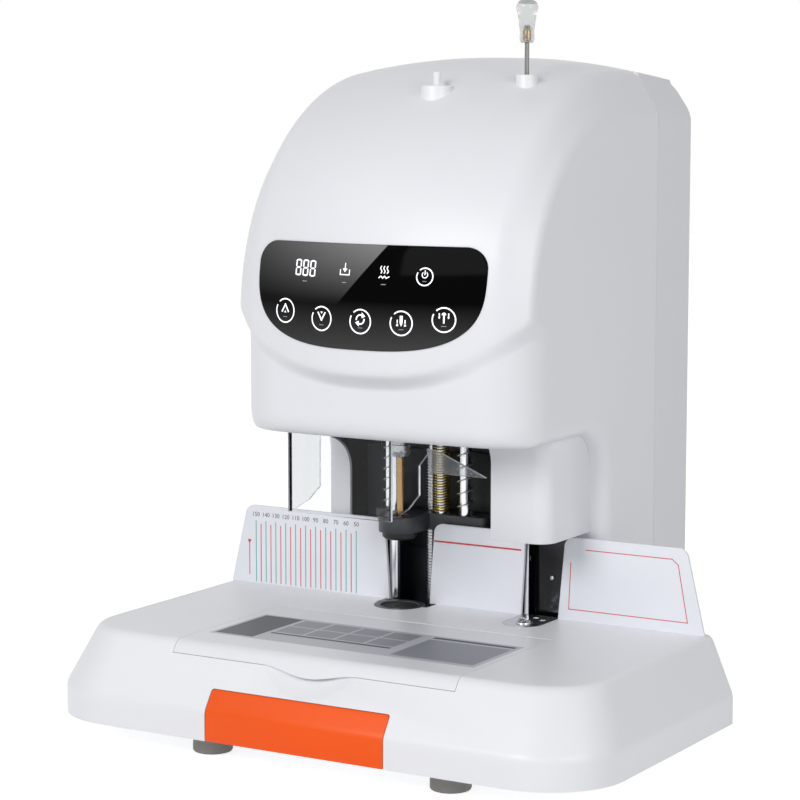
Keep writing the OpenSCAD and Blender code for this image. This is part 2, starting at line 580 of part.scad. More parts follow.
module nylon_tube() color([0.98, 0.98, 0.98]) tube(tube_at, 440, 520.8, 2.9, 1.9, 40);
module pin_boss() color([0.97, 0.97, 0.98]) tube(pin_at, 500, pin_boss_z, pin_boss_r, 1.8);

// ---- rear shell ----
// Section of the top at depth y: domed with bevelled shoulders
function top_section(y, d) = let (s = (y - seam_y) / (back_y - seam_y), zc = crest_z - 2.4 * s, da = mix(12, 16, s),
    round_e = max(0, y - back_y + 5) * 0.5)
  [for (x = concat([for (i = [len(columns) - 1:-1:1]) -columns[i]], columns))
    let (k = (body_hw - d) / body_hw, ax = abs(x), dep = ax <= crease_x ? da * pow(ax / crease_x, mix(2, 1.7, s))
      : band_depth(ax, 1) + (da - 12) * (1 - (ax - crease_x) / (body_hw - crease_x)))
    [x * k, y, zc - dep - d - round_e]];
module rear_form(d) skin([for (y = d > 0 ? [seam_y - 1, back_y - wall] : [seam_y, 165, back_y - 4, back_y])
  let (top = top_section(max(y, seam_y), d), e = y > back_y - 3 ? 1.5 : 0, z0 = d > 0 ? 59 : 60)
  [for (p = concat([for (q = top) [q[0] * (1 - e / body_hw), y, q[2]]],
    [[body_hw - d - e, y, z0], [-body_hw + d + e, y, z0]])) p]]);
inlet_at = [-72, 96];
switch_at = [-24, 96];
module rear_shell() color([0.94, 0.94, 0.96]) difference() {
  rear_form(0);
  rear_form(wall);
  // louvres
  for (s = [-1, 1], i = [0:11]) translate([s * 62 - 34, back_y - 5, 150 + i * 9]) cube([68, 10, 3.2]);
  box([inlet_at[0] - 14, back_y - 5, inlet_at[1] - 10.5], [inlet_at[0] + 14, back_y + 1, inlet_at[1] + 10.5]);
  box([switch_at[0] - 10, back_y - 5, switch_at[1] - 6.5], [switch_at[0] + 10, back_y + 1, switch_at[1] + 6.5]);
}
module inlet_socket() color([0.07, 0.07, 0.08]) {
  difference() {
    union() {
      box([inlet_at[0] - 25, back_y, inlet_at[1] - 12], [inlet_at[0] + 25, back_y + 2, inlet_at[1] + 12]);
      box([inlet_at[0] - 14, back_y - 24, inlet_at[1] - 10.5], [inlet_at[0] + 14, back_y, inlet_at[1] + 10.5]);
    }
    translate([inlet_at[0], back_y + 3, inlet_at[1]]) rotate([90, 0, 0]) linear_extrude(21) polygon([
      [-12, -8.2], [12, -8.2], [12, 3], [7, 8.2], [-7, 8.2], [-12, 3]]);
    for (s = [-1, 1]) translate([inlet_at[0] + s * 20, back_y - 1, inlet_at[1]]) rotate([-90, 0, 0]) cylinder(r = 1.8, h = 4, $fn = 24);
  }
  for (p = [[-7, -2], [7, -2], [0, 3]])
    box([inlet_at[0] + p[0] - 1, back_y - 18.5, inlet_at[1] + p[1] - 2], [inlet_at[0] + p[0] + 1, back_y - 6, inlet_at[1] + p[1] + 2]);
}
module rocker_switch() color([0.1, 0.1, 0.11]) translate([switch_at[0], back_y - 1, switch_at[1]]) rotate([0, 90, 0])
  linear_extrude(17, center = true) polygon([[-5, -7], [5, -7], [5, 1], [0, 0], [-5, 3], [-5.2, 0]]);

// ---- control glass on the visor ----
glass_hw = 100.4;
glass_z0 = 313;
glass_z1 = 392;
function glass_low(x) = glass_z0 + 60 * (1 - pow(max(0, 1 - pow(x / glass_hw, 3)), 1 / 3));
function glass_top(x) = glass_z1 - 17 * (1 - sqrt(max(0, 1 - pow(max(0, x - glass_hw + 17) / 17, 2))));
glass_cols = [0, 20, 40, 58, 72, 83, 91, 96, 99, 100.2];
function glass_ring(x) = let (ax = abs(x), lo = glass_low(ax), hi = glass_top(ax))
  concat([for (i = [0:6]) let (z = mix(hi, lo, i / 6)) [x, visor_front(ax, z) - 0.8, z]],
    [for (i = [6:-1:0]) let (z = mix(hi, lo, i / 6)) [x, visor_front(ax, z) + 0.8, z]]);
module control_glass() color([0.03, 0.03, 0.03])
  skin([for (x = concat([for (i = [len(glass_cols) - 1:-1:1]) -glass_cols[i]], glass_cols)) glass_ring(x)]);

// ---- clearing pin ----
module clearing_pin() color([0.75, 0.76, 0.78]) at(pin_at) rotate_extrude($fn = 32) polygon([
  [0, 440], [1, 441], [1.75, 443], [1.75, 543], [3.2, 543], [3.2, 553], [2.2, 556], [0, 556]]);
module pin_handle() color([0.85, 0.88, 0.9, 0.5]) at(pin_at) rotate_extrude($fn = 40) polygon([
  [3.2, 543], [5.2, 543.6], [5.8, 549], [5.2, 551], [6.4, 560], [8.6, 569], [8.2, 573], [5, 575.6], [0, 576],
  [0, 556.4], [2.2, 556.4], [3.2, 553]]);

base_shell();
base_plate();
rubber_feet();
table_lid();
lid_hinge_pin();
chip_drawer();
fence_left();
fence_middle();
fence_right();
pad_cup();
cutting_pad();
anvil_plate();
lower_anvil();
anvil_arm();
rivet_post();
rivet_arm();
column_base();
left_column();
right_column();
inner_panel();
back_frame();
upper_bridge();
feed_motor();
lead_screw();
crosshead();
column_bushes();
feed_nut();
spindle_housing();
spindle_bearings();
drill_spindle();
drill_bit();
drill_motor();
power_supply();
main_board();
display_board();
press_bar();
presser_foot();
left_rod();
middle_rod();
gold_spring();
left_spring();
right_spring();
clear_guard();
chip_deflector();
rivet_cover();
rivet_ram();
rivet_heater();
rivet_punch();
rivet_actuator();
front_shell();
rear_shell();
control_glass();
tube_boss();
nylon_tube();
pin_boss();
clearing_pin();
pin_handle();
inlet_socket();
rocker_switch();
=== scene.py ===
# Looks of the document riveting machine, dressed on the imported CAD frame.
from math import asin, copysign, cos, hypot, pi, radians, sin, sqrt
import bpy
import bmesh
import numpy as np
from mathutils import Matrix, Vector


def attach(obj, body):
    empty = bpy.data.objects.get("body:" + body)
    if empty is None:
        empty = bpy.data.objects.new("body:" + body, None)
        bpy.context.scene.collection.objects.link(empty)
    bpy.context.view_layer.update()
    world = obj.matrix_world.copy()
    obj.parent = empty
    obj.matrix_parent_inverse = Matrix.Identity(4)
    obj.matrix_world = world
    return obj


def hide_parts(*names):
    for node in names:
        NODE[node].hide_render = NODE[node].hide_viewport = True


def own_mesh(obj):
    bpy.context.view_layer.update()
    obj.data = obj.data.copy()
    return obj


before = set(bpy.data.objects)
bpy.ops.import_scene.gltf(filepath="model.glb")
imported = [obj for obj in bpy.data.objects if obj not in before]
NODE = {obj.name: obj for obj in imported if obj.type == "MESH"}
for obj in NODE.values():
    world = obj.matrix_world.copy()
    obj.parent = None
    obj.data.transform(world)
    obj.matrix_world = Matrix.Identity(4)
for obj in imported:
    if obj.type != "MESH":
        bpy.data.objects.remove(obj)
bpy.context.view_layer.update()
MM = 0.001

# ---- camera, solved on the photograph
FOCAL_PX, FRAME_PX, SENSOR = 2573.53, 800.0, 36.0
CAM_AT, CAM_YAW, CAM_PITCH = (1.01748, -1.74304, 0.51611), 0.5405, 0.1245
scene = bpy.context.scene


def aim(o, at, direction):
    """Stand a camera or lamp at a point, looking along a direction."""
    scene.collection.objects.link(o)
    o.location = at
    o.rotation_mode = "QUATERNION"
    o.rotation_quaternion = direction.to_track_quat("-Z", "Y")


cam_data = bpy.data.cameras.new("camera")
cam_data.sensor_width = SENSOR
cam_data.lens = FOCAL_PX * SENSOR / FRAME_PX
cam_data.clip_start, cam_data.clip_end = 0.05, 30.0
cam = bpy.data.objects.new("camera", cam_data)
aim(cam, CAM_AT, Vector((-sin(CAM_YAW) * cos(CAM_PITCH), cos(CAM_YAW) * cos(CAM_PITCH), -sin(CAM_PITCH))))
scene.camera = cam
scene.view_settings.view_transform = "Standard"


# ---- node helpers
def is_socket(value):
    return isinstance(value, bpy.types.NodeSocket)


def put(tree, node, inputs):
    """Set a node's inputs to values, or link them to other nodes' outputs."""
    for key, value in inputs.items():
        if is_socket(value):
            tree.links.new(value, node.inputs[key])
        else:
            node.inputs[key].default_value = value


def add(tree, kind, inputs=(), **settings):
    """A new node with its settings and inputs, and all its outputs."""
    node = tree.nodes.new(kind)
    for key, value in settings.items():
        setattr(node, key, value)
    put(tree, node, dict(inputs))
    return node.outputs


def new_mat(name):
    m = bpy.data.materials.new(name)
    m.use_nodes = True
    return m, m.node_tree, m.node_tree.nodes["Principled BSDF"]


def noise(tree, scale, detail=3.0, rough=0.5, stretch=None):
    """Noise in the object's own space, stretched for marks that run one way."""
    at = add(tree, "ShaderNodeTexCoord")["Object"]
    at = add(tree, "ShaderNodeMapping", {"Vector": at, "Scale": stretch or (1, 1, 1)})["Vector"]
    return add(tree, "ShaderNodeTexNoise", {"Vector": at, "Scale": scale, "Detail": detail, "Roughness": rough})["Fac"]


def ranged(tree, src, a, b, lo=0.3, hi=0.7):
    return add(tree, "ShaderNodeMapRange",
               {"Value": src, "From Min": lo, "From Max": hi, "To Min": a, "To Max": b})["Result"]


def around(tree, src, middle, spread):
    return ranged(tree, src, middle - spread / 2, middle + spread / 2)


def bump(tree, height, strength, distance):
    return add(tree, "ShaderNodeBump", {"Height": height, "Strength": strength, "Distance": distance})["Normal"]


def calc(tree, operation, *inputs):
    return add(tree, "ShaderNodeMath", enumerate(inputs), operation=operation)[0]


def two_tone(tree, fac, a, b):
    a, b = (c if is_socket(c) else (*c, 1) for c in (a, b))
    return add(tree, "ShaderNodeMix", {"Factor": fac, "A": a, "B": b}, data_type="RGBA")["Result"]


def lin(rgb):
    """Linear value of a colour written from 0 to 255."""
    return tuple(c / 255 / 12.92 if c / 255 <= 0.04045 else ((c / 255 + 0.055) / 1.055) ** 2.4 for c in rgb)


def mottled(tree, rgb, var, src):
    """A colour that is darker by a share where the noise is low."""
    c = lin(rgb)
    return two_tone(tree, ranged(tree, src, 0, 1), tuple(v * (1 - var) for v in c), c)


# ---- materials
def plastic(name, rgb, rough=0.32, var=0.02, grain=2600.0, grain_h=0.00002, spread=0.06,
            coat=0.0, strength=0.35, gloss=0.5):
    """Moulded plastic: slow mottling in colour, fine grain in the gloss and the surface."""
    m, tree, b = new_mat(name)
    put(tree, b, {
        "Base Color": mottled(tree, rgb, var, noise(tree, 9.0, 2.0)),
        "Roughness": around(tree, noise(tree, 30.0), rough, spread),
        "Coat Weight": coat, "Coat Roughness": 0.12, "Specular IOR Level": gloss,
        "Normal": bump(tree, noise(tree, grain, 2.0, 0.6), strength, grain_h)})
    return m


def metal(name, rgb, rough=0.25, var=0.08, brush=None, brush_scale=300.0, spread=0.1, h=0.00001, strength=0.4):
    """Metal with fine machining marks along one direction."""
    m, tree, b = new_mat(name)
    mark = noise(tree, brush_scale, 4.0, 0.6, brush)
    put(tree, b, {"Base Color": mottled(tree, rgb, var, mark), "Metallic": 1.0,
                  "Roughness": around(tree, mark, rough, spread), "Normal": bump(tree, mark, strength, h)})
    return m


def clear(name, tint=(0.86, 0.875, 0.88), rough=0.02, ior=1.49, scratches=0.1, gloss=0.25, through=1.0):
    """Clear plastic with fine upright scratches in its gloss."""
    m, tree, b = new_mat(name)
    marks = noise(tree, 500.0, 4.0, 0.7, (1, 1, 6))
    put(tree, b, {"Base Color": (*tint, 1), "Transmission Weight": through, "Specular IOR Level": gloss,
                  "IOR": ior, "Roughness": ranged(tree, marks, rough, rough + scratches, 0.55, 0.8),
                  "Normal": bump(tree, marks, 0.15, 0.00001)})
    return m


def glow(name, rgb, strength=1.0):
    """Lit or white printed mark: a white with an emission that paints a glow, also on marks that are only printed, so
    it stays readable on black glass.
    """
    m, tree, b = new_mat(name)
    face = mottled(tree, rgb, 0.07, noise(tree, 900.0, 2.0))
    put(tree, b, {"Base Color": face, "Emission Color": face, "Emission Strength": strength, "Roughness": 0.4})
    return m


def ink(name, rgb):
    m, tree, b = new_mat(name)
    grain = noise(tree, 1400.0, 2.0)
    put(tree, b, {"Base Color": mottled(tree, rgb, 0.14, grain), "Roughness": ranged(tree, grain, 0.34, 0.5)})
    return m


def edge_mat():
    """Cut edge of acrylic: frosted and pale, with a faint emission that paints a glow of gathered light on it."""
    m, tree, b = new_mat("acrylic_edge")
    light = ranged(tree, noise(tree, 300.0), 0, 1)
    put(tree, b, {"Base Color": two_tone(tree, light, (0.62, 0.66, 0.70), (0.9, 0.93, 0.96)),
                  "Roughness": 0.22, "Transmission Weight": 0.35,
                  "Emission Color": (0.8, 0.85, 0.9, 1), "Emission Strength": 0.12})
    return m


def glass_mat():
    """Black touch glass: near black, with a lighter lower part and a painted reflection, a pale triangle at its upper
    left.
    """
    m, tree, b = new_mat("black_glass")
    at = add(tree, "ShaderNodeSeparateXYZ", {"Vector": add(tree, "ShaderNodeTexCoord")["Object"]})
    low = ranged(tree, at["Z"], 1.0, 0.0, 0.308, 0.350)
    top = ranged(tree, at["Z"], 0.0, 1.0, 0.346, 0.397)
    side = ranged(tree, at["X"], 0.3, 1.0, -0.1, 0.012)
    # the painted reflection lies left of a line that leans 1.12 up for 1 across: the light's reflection painted into
    # the glass colour
    painted_reflection = ranged(tree, calc(tree, "MULTIPLY_ADD", at["X"], -1.12, at["Z"]), 0.0, 1.0, 0.3688, 0.3694)
    for part in (top, side):
        painted_reflection = calc(tree, "MULTIPLY", painted_reflection, part)
    face = two_tone(tree, low, (0.002, 0.002, 0.0022), (0.07, 0.07, 0.071))
    put(tree, b, {"Base Color": two_tone(tree, painted_reflection, face, (0.27, 0.27, 0.274)),
                  "Roughness": ranged(tree, noise(tree, 40.0), 0.05, 0.09), "Specular IOR Level": 0.015})
    return m


WHITE = dict(var=0.008, spread=0.02, strength=0.12)
RUBBER = dict(grain=900.0, grain_h=0.00006, spread=0.12, strength=0.8)
M = {
    "shell": plastic("white_shell", (238, 239, 244), 0.36, **WHITE),
    "rear": plastic("rear_shell", (233, 234, 239), 0.4, **WHITE),
    "base": plastic("base_white", (243, 244, 248), 0.36, **WHITE),
    "lid": plastic("lid_white", (239, 240, 245), 0.34, **WHITE),
    "fence": plastic("fence_white", (242, 244, 251), 0.3, coat=0.1, **WHITE),
    "orange": plastic("orange_drawer", (255, 92, 8), 0.38, 0.03, 1800.0, gloss=0.3),
    "rubber": plastic("foot_rubber", (172, 170, 165), 0.62, 0.12, **RUBBER),
    "pad": plastic("pad_rubber", (30, 30, 33), 0.7, 0.2, **RUBBER),
    "dark": plastic("dark_casting", (58, 60, 64), 0.42, 0.18, 1200.0, 0.00004, 0.16, strength=0.7),
    "black": plastic("black_paint", (11, 11, 13), 0.2, 0.1, 1500.0, 0.00001, 0.08, coat=0.15, gloss=0.35),
    "blackp": plastic("black_plastic", (24, 24, 27), 0.45, 0.15, 1400.0, 0.00004, 0.14),
    "panel": plastic("inner_dark", (17, 21, 27), 0.5, 0.25, 700.0, 0.00004, 0.2),
    "board": plastic("circuit_board", (18, 92, 52), 0.4, 0.3, 400.0, 0.00004, 0.1),
    "motor": plastic("motor_paint", (66, 68, 72), 0.38, 0.15, 900.0, 0.00003, 0.15),
    "nylon": plastic("white_nylon", (246, 246, 248), 0.38, 0.02, 1200.0),
    "chrome": metal("chrome", (214, 216, 220), 0.12, 0.05, (1, 1, 0.02), 900.0, 0.06),
    "steel": metal("bright_steel", (196, 198, 202), 0.26, 0.12, (1, 1, 0.05), 700.0, 0.14),
    "plate": metal("zinc_plate", (168, 171, 176), 0.36, 0.18, None, 60.0, 0.14),
    "cast": metal("cast_metal", (120, 122, 127), 0.42, 0.22, None, 260.0, 0.2, 0.00004, 0.8),
    "gold": metal("yellow_zinc", (222, 196, 116), 0.22, 0.2, None, 220.0, 0.12),
    "spring": metal("spring_steel", (228, 225, 214), 0.36, 0.1, None, 400.0, 0.12),
    "bronze": metal("bronze", (186, 150, 108), 0.24, 0.18, (1, 1, 0.04), 700.0, 0.12),
    "brass": metal("brass_insert", (214, 170, 100), 0.2, 0.15, (1, 1, 0.2), 500.0, 0.1),
    "pin": metal("pin_steel", (128, 128, 126), 0.34, 0.14, (1, 1, 0.05), 700.0, 0.12),
    "clear": clear("clear_acrylic", ior=1.2),
    "haze": clear("clear_deflector", (0.88, 0.9, 0.92), 0.06, 1.49, 0.1, 0.5, 0.86),
    # grey clear material for the lower cut edges: painted shade under the guard
    "cut": clear("acrylic_cut_shaded", (0.34, 0.36, 0.4), 0.2, 1.49, 0.2),
    "handle": clear("clear_handle", (0.66, 0.68, 0.67), 0.1, 1.47, 0.2, 0.5, 0.9),
    "edge": edge_mat(),
    "glass": glass_mat(),
    "white_mark": glow("white_mark", (245, 246, 250), 0.75),
    "dim_mark": glow("dim_mark", (150, 152, 156), 0.25),
    "red": ink("print_red", (226, 72, 84)),
    "red_dark": ink("print_red_line", (216, 46, 66)),
    "green": ink("print_green", (92, 190, 178)),
    "ink": ink("print_ink", (52, 54, 60)),
    "grey1": ink("print_grey_light", (202, 205, 212)),
    "grey2": ink("print_grey_mid", (150, 154, 162)),
    "grey3": ink("print_grey_dark", (52, 56, 62)),
}


# ---- mesh helpers, in millimetres
def make(name, verts, faces, *mats):
    me = bpy.data.meshes.new(name)
    me.from_pydata([(x * MM, y * MM, z * MM) for x, y, z in verts], [], faces)
    me.validate()
    me.update()
    for mat in mats:
        me.materials.append(M[mat])
    o = bpy.data.objects.new(name, me)
    scene.collection.objects.link(o)
    return o


def place(o, body="frame", replaces=()):
    """Hand a piece to the frame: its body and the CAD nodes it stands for."""
    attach(o, body)
    if replaces:
        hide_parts(*replaces)
    return o


def soften(o, angle):
    me = o.data
    me.polygons.foreach_set("use_smooth", [True] * len(me.polygons))
    me.set_sharp_from_angle(angle=radians(angle))
    me.update()


def tidy(o, merge=1e-6):
    bm = bmesh.new()
    bm.from_mesh(o.data)
    bmesh.ops.remove_doubles(bm, verts=bm.verts, dist=merge)
    bmesh.ops.dissolve_degenerate(bm, dist=1e-6, edges=bm.edges)
    bmesh.ops.recalc_face_normals(bm, faces=bm.faces)
    bm.to_mesh(o.data)
    bm.free()


def bake(o):
    """Make what a piece's modifiers give its own mesh."""
    me = bpy.data.meshes.new_from_object(o.evaluated_get(bpy.context.evaluated_depsgraph_get()))
    o.modifiers.clear()
    old, o.data = o.data, me
    bpy.data.meshes.remove(old)


def bevel(o, width, segments, angle):
    mod = o.modifiers.new("edge", "BEVEL")
    mod.width = width * MM
    mod.segments = segments
    mod.limit_method = "ANGLE"
    mod.angle_limit = radians(angle)
    mod.use_clamp_overlap = True


def repaint(o, *mats):
    o.data.materials.clear()
    for mat in mats:
        o.data.materials.append(M[mat])


def lerp(a, b, t):
    return a + (b - a) * t


def bez(p, q, r, t):
    return p * (1 - t) ** 2 + q * 2 * t * (1 - t) + r * t * t


def circle(cx, cy, r, n):
    return [(cx + r * cos(2 * pi * k / n), cy + r * sin(2 * pi * k / n)) for k in range(n)]


def arc(cx, cy, r, a0, a1, n):
    turns = [radians(a0 + (a1 - a0) * k / n) for k in range(n + 1)]
    return [(cx + r * cos(a), cy + r * sin(a)) for a in turns]


def mirrored(xs):
    return [-x for x in xs[:0:-1]] + xs


def rounded(pts, radii, n=5):
    """2-D outline with its corners rounded by quadratic arcs of the given reach."""
    out = []
    for i, (p, r) in enumerate(zip(pts, radii)):
        if r <= 0:
            out.append(tuple(p))
            continue
        a, b, c = np.array(pts[i - 1], float), np.array(p, float), np.array(pts[(i + 1) % len(pts)], float)
        u, v = a - b, c - b
        lu, lv = np.linalg.norm(u), np.linalg.norm(v)
        reach = min(r, lu * 0.49, lv * 0.49)
        start, end = b + u / lu * reach, b + v / lv * reach
        out += [tuple(float(q) for q in bez(start, b, end, k / n)) for k in range(n + 1)]
    return out


def skin(rings):
    """Quads through rings of equal length with capped ends, like the CAD source's skin."""
    n, m = len(rings[0]), len(rings)
    faces = []
    for j in range(m - 1):
        for i in range(n):
            k = (i + 1) % n
            faces.append((j * n + i, (j + 1) * n + i, (j + 1) * n + k, j * n + k))
    faces.append(tuple(range(n)))
    faces.append(tuple((m - 1) * n + i for i in range(n - 1, -1, -1)))
    return [p for r in rings for p in r], faces


def lathe(profile, segs, at=(0, 0)):
    """Profile of (r, z) points turned about an upright axis, with no faces on the axis itself."""
    n = len(profile)
    turns = [2 * pi * k / segs for k in range(segs)]
    verts = [(at[0] + r * cos(a), at[1] + r * sin(a), z) for a in turns for r, z in profile]
    faces = []
    for j in range(segs):
        j2 = (j + 1) % segs
        for i in range(n):
            k = (i + 1) % n
            if profile[i][0] >= 1e-6 or profile[k][0] >= 1e-6:
                faces.append((j * n + i, j2 * n + i, j2 * n + k, j * n + k))
    return verts, faces


def solid(verts_faces):
    o = make("cutter", *verts_faces)
    tidy(o)
    return o


def box(a, b):
    (x0, y0, z0), (x1, y1, z1) = a, b
    plan = [(x0, y0), (x1, y0), (x1, y1), (x0, y1)]
    return solid(([(x, y, z) for z in (z0, z1) for x, y in plan],
                  [(0, 3, 2, 1), (4, 5, 6, 7), (0, 1, 5, 4), (1, 2, 6, 5), (2, 3, 7, 6), (3, 0, 4, 7)]))


def prism(poly, h0, h1, plane="xy"):
    """Straight prism from a 2-D outline: plane xy goes up z, xz goes along y, yz goes along x."""
    at = {"xy": lambda p, h: (p[0], p[1], h), "xz": lambda p, h: (p[0], h, p[1]), "yz": lambda p, h: (h, *p)}[plane]
    return solid(skin([[at(p, h) for p in poly] for h in (h0, h1)]))


def cyl(cx, cy, z0, z1, r, n=64):
    return prism(circle(cx, cy, r, n), z0, z1)


def csg(a, operation, others):
    for b in others:
        mod = a.modifiers.new("csg", "BOOLEAN")
        mod.operation = operation
        mod.solver = "MANIFOLD"
        mod.object = b
        bake(a)
        bpy.data.objects.remove(b)
    return a


def cut(a, *others):
    return csg(a, "DIFFERENCE", others)


def join(a, *others):
    return csg(a, "UNION", others)


def within(a, *others):
    return csg(a, "INTERSECT", others)


def finish_piece(o, name, mat, node, body="frame", edge=0, segs=2, smooth=33):
    """Clean, bevel, shade, paint and place a form that stands for a CAD node."""
    o.name = o.data.name = name
    tidy(o)
    if edge:
        bevel(o, edge, segs, 40)
        bake(o)
    soften(o, smooth)
    repaint(o, mat)
    return place(o, body, [node])


def smooth_group():
    """Geometry nodes that shade smooth up to 30 degrees, for carried-over CAD nodes."""
    g = bpy.data.node_groups.new("smooth_by_angle", "GeometryNodeTree")
    for way in ("INPUT", "OUTPUT"):
        g.interface.new_socket("Geometry", in_out=way, socket_type="NodeSocketGeometry")
    angle = add(g, "GeometryNodeInputMeshEdgeAngle")["Unsigned Angle"]
    flat = add(g, "FunctionNodeCompare", {"A": angle, "B": radians(30)}, data_type="FLOAT", operation="LESS_THAN")
    faces = add(g, "GeometryNodeSetShadeSmooth", {"Geometry": add(g, "NodeGroupInput")[0]})
    edges = add(g, "GeometryNodeSetShadeSmooth", {"Geometry": faces["Geometry"], "Shade Smooth": flat["Result"]},
                domain="EDGE")
    add(g, "NodeGroupOutput", {0: edges["Geometry"]})
    return g


SMOOTH = smooth_group()


def dress(node, mat, width):
    """Carried-over CAD node: its mesh stays, it gets softened edges and a material."""
    o = NODE[node]
    repaint(o, mat)
    o.modifiers.new("weld", "WELD").merge_threshold = 1e-5
    if width:
        bevel(o, width, 2, 38)
    o.modifiers.new("smooth", "NODES").node_group = SMOOTH


# ---- head form, the CAD's formulas with finer steps
BODY_HW, NECK_Y, SEAM_Y, BACK_Y, FOOT_Z = 131.0, 50.0, 134.7, 200.0, 60
HEAD_Z, CREST_Z, HEAD_POW = 242.0, 532.4, 2.25
VISOR_Y, VISOR_A, VISOR_Z = 100.0, 208.0, 315.0
VISOR_B = CREST_Z - VISOR_Z
CREASE_X, LOW_Y, LOW_R, LIP_LOW, STEP_H, BEVEL_H, BEVEL_W = 112.0, -95.0, 48.0, 296.0, 16.0, 16.0, 9.0
FILLET_R, EDGE_W, EDGE_H, WALL = 35.0, 11.0, 13.0, 3.0
LIP_R = 2.2


def sstep(t):
    c = min(1.0, max(0.0, t))
    return c * c * (3 - 2 * c)


def spow(v, e):
    return copysign(abs(v) ** e, v)


def lip_at(x):
    return LIP_LOW + 13 * (x / 80.0) ** 2.6


def low_at(x):
    y = LOW_Y + 2 * (min(x, 83.0) / 83.0) ** 2
    if x > BODY_HW - LOW_R:
        y += LOW_R - sqrt(max(0.0, LOW_R ** 2 - (x - BODY_HW + LOW_R) ** 2))
    return y


def param(a, b, c, x):
    """Where a quadratic curve through a, b and c reaches x."""
    k = a - 2 * b + c
    if abs(k) < 1e-3:
        return (x - a) / (c - a)
    return (a - b + sqrt(max(0.0, (b - a) ** 2 - k * (a - x)))) / k


def band_depth(x, s):
    """How far the visor falls back at half width x: a crown, a crease and the side band."""
    da, db = lerp(17, 12, s), lerp(31, 42.4, s)
    p0 = (CREASE_X - 8, da * ((CREASE_X - 8) / CREASE_X) ** 2)
    p1 = (CREASE_X, da)
    p2, p3 = ((lerp(CREASE_X, BODY_HW, t), lerp(da, db, t)) for t in (0.4, 0.72))
    p4 = (BODY_HW, db)
    p5 = (BODY_HW, db + 7)
    if x <= p0[0]:
        return da * (x / CREASE_X) ** 2
    if x <= p2[0]:
        return bez(p0[1], p1[1], p2[1], param(p0[0], p1[0], p2[0], x))
    if x <= p3[0]:
        return lerp(p2[1], p3[1], (x - p2[0]) / (p3[0] - p2[0]))
    return bez(p3[1], p4[1], p5[1], param(p3[0], p4[0], p5[0], x))


def profile_t(z):
    v = (z - VISOR_Z) / VISOR_B
    return copysign(asin(min(1.0, abs(v) ** (HEAD_POW / 2))), v)


def visor_pt(x, t, d=0.0):
    """Point of the visor's superellipse at half width x, set in by d."""
    e = 2 / HEAD_POW
    c, s = max(0.0, cos(t)), sin(t)
    ny, nz = c ** (2 - e), spow(s, 2 - e)
    n = hypot(ny, nz) or 1.0
    dep = band_depth(x, s * s) + d
    return (VISOR_Y - VISOR_A * c ** e + dep * ny / n, VISOR_Z + VISOR_B * spow(s, e) - dep * nz / n)


def visor_front(x, z):
    return visor_pt(abs(x), profile_t(z))[0]


def column_list(n):
    """Half widths: even over the face, close together where the side band turns."""
    xs = [*np.linspace(0, CREASE_X - 12, n), *np.linspace(CREASE_X - 10, 119.5, 14), *np.linspace(120.2, 125.6, 8)]
    return xs + [BODY_HW - 5.32 * (1 - sin(k * pi / 2 / 10)) for k in range(1, 10)] + [BODY_HW]


def head_ring(ax, x, d, rows, steps):
    """Section of the head at half width ax, standing at x."""
    t0 = profile_t(lip_at(ax))
    lip = visor_pt(ax, t0, d)
    low = low_at(ax) + d
    tail = SEAM_Y + (1 if d > 0 else 0)
    face = [visor_pt(ax, lerp(pi / 2, t0, i / rows), d) for i in range(rows)]
    # the lip is rounded, then the step runs back to the lower face
    step = [(lerp(lip[0], low, sstep(k / steps)), lip[1] - STEP_H * k / steps) for k in range(1, steps + 1)]
    a, b, c = np.array(face[-1]), np.array(lip), np.array(step[1])
    u, v = a - b, c - b
    lu, lv = np.linalg.norm(u), np.linalg.norm(v)
    start, end = b + u / lu * min(LIP_R, lu * 0.8), b + v / lv * min(LIP_R, lv * 0.9)
    nose = [tuple(bez(start, b, end, k / 5)) for k in range(6)]
    turns = [k * pi / 12 for k in range(1, 7)]
    curve = [(low + BEVEL_W * (1 - cos(a)), HEAD_Z + d + (BEVEL_H - d * 0.6) * (1 - sin(a))) for a in turns]
    pts = [(tail, visor_pt(ax, pi / 2, d)[1])] + face + nose + step[2:]
    pts += [(low, HEAD_Z + BEVEL_H + d * 0.4)] + curve + [(tail, HEAD_Z + d)]
    return [(x, y, z) for y, z in pts]


def head_form(d, n=44, rows=56, steps=12):
    k = (BODY_HW - d) / BODY_HW
    return solid(skin([head_ring(abs(x), x * k, d, rows, steps) for x in mirrored(column_list(n))]))


def edge_curve(d, n=8):
    """Quarter ellipse along the lower side edges: half widths and the rise at each."""
    turns = [k * pi / 2 / n for k in range(n + 1)]
    return [(BODY_HW - EDGE_W + (EDGE_W - d) * sin(a), EDGE_H * (1 - cos(a))) for a in turns]


def side_bevels(d):
    """What the lower side edges lose, one cutter a side."""
    curve = [(x, HEAD_Z + d + rise) for x, rise in edge_curve(d)]
    outline = [(BODY_HW - EDGE_W, HEAD_Z - 6)] + curve + [(BODY_HW + 6, curve[-1][1]), (BODY_HW + 6, HEAD_Z - 6)]
    return [prism([(side * x, z) for x, z in outline], -210, 210, "xz") for side in (-1, 1)]


def neck_ring(x, o, ext):
    tail, foot = SEAM_Y + ext, FOOT_Z - ext
    pts = [(tail, foot), (tail, HEAD_Z + 40), (-40, HEAD_Z + 40), (-40, HEAD_Z + o)]
    pts += arc(NECK_Y - FILLET_R, HEAD_Z - FILLET_R, FILLET_R + o, 90, 0, 16)
    return [(x, y, z) for y, z in pts + [(NECK_Y + o, foot)]]


def neck_form(d):
    right = edge_curve(d)
    seq = [(-x, o) for x, o in right[::-1]] + right
    return solid(skin([neck_ring(x, d + o, 1 if d else 0) for x, o in seq]))


MOUTH_X0, MOUTH_X1, ARCH_Z, ARCH_W, ARCH_H = -124, 102, 219, 17.5, 26


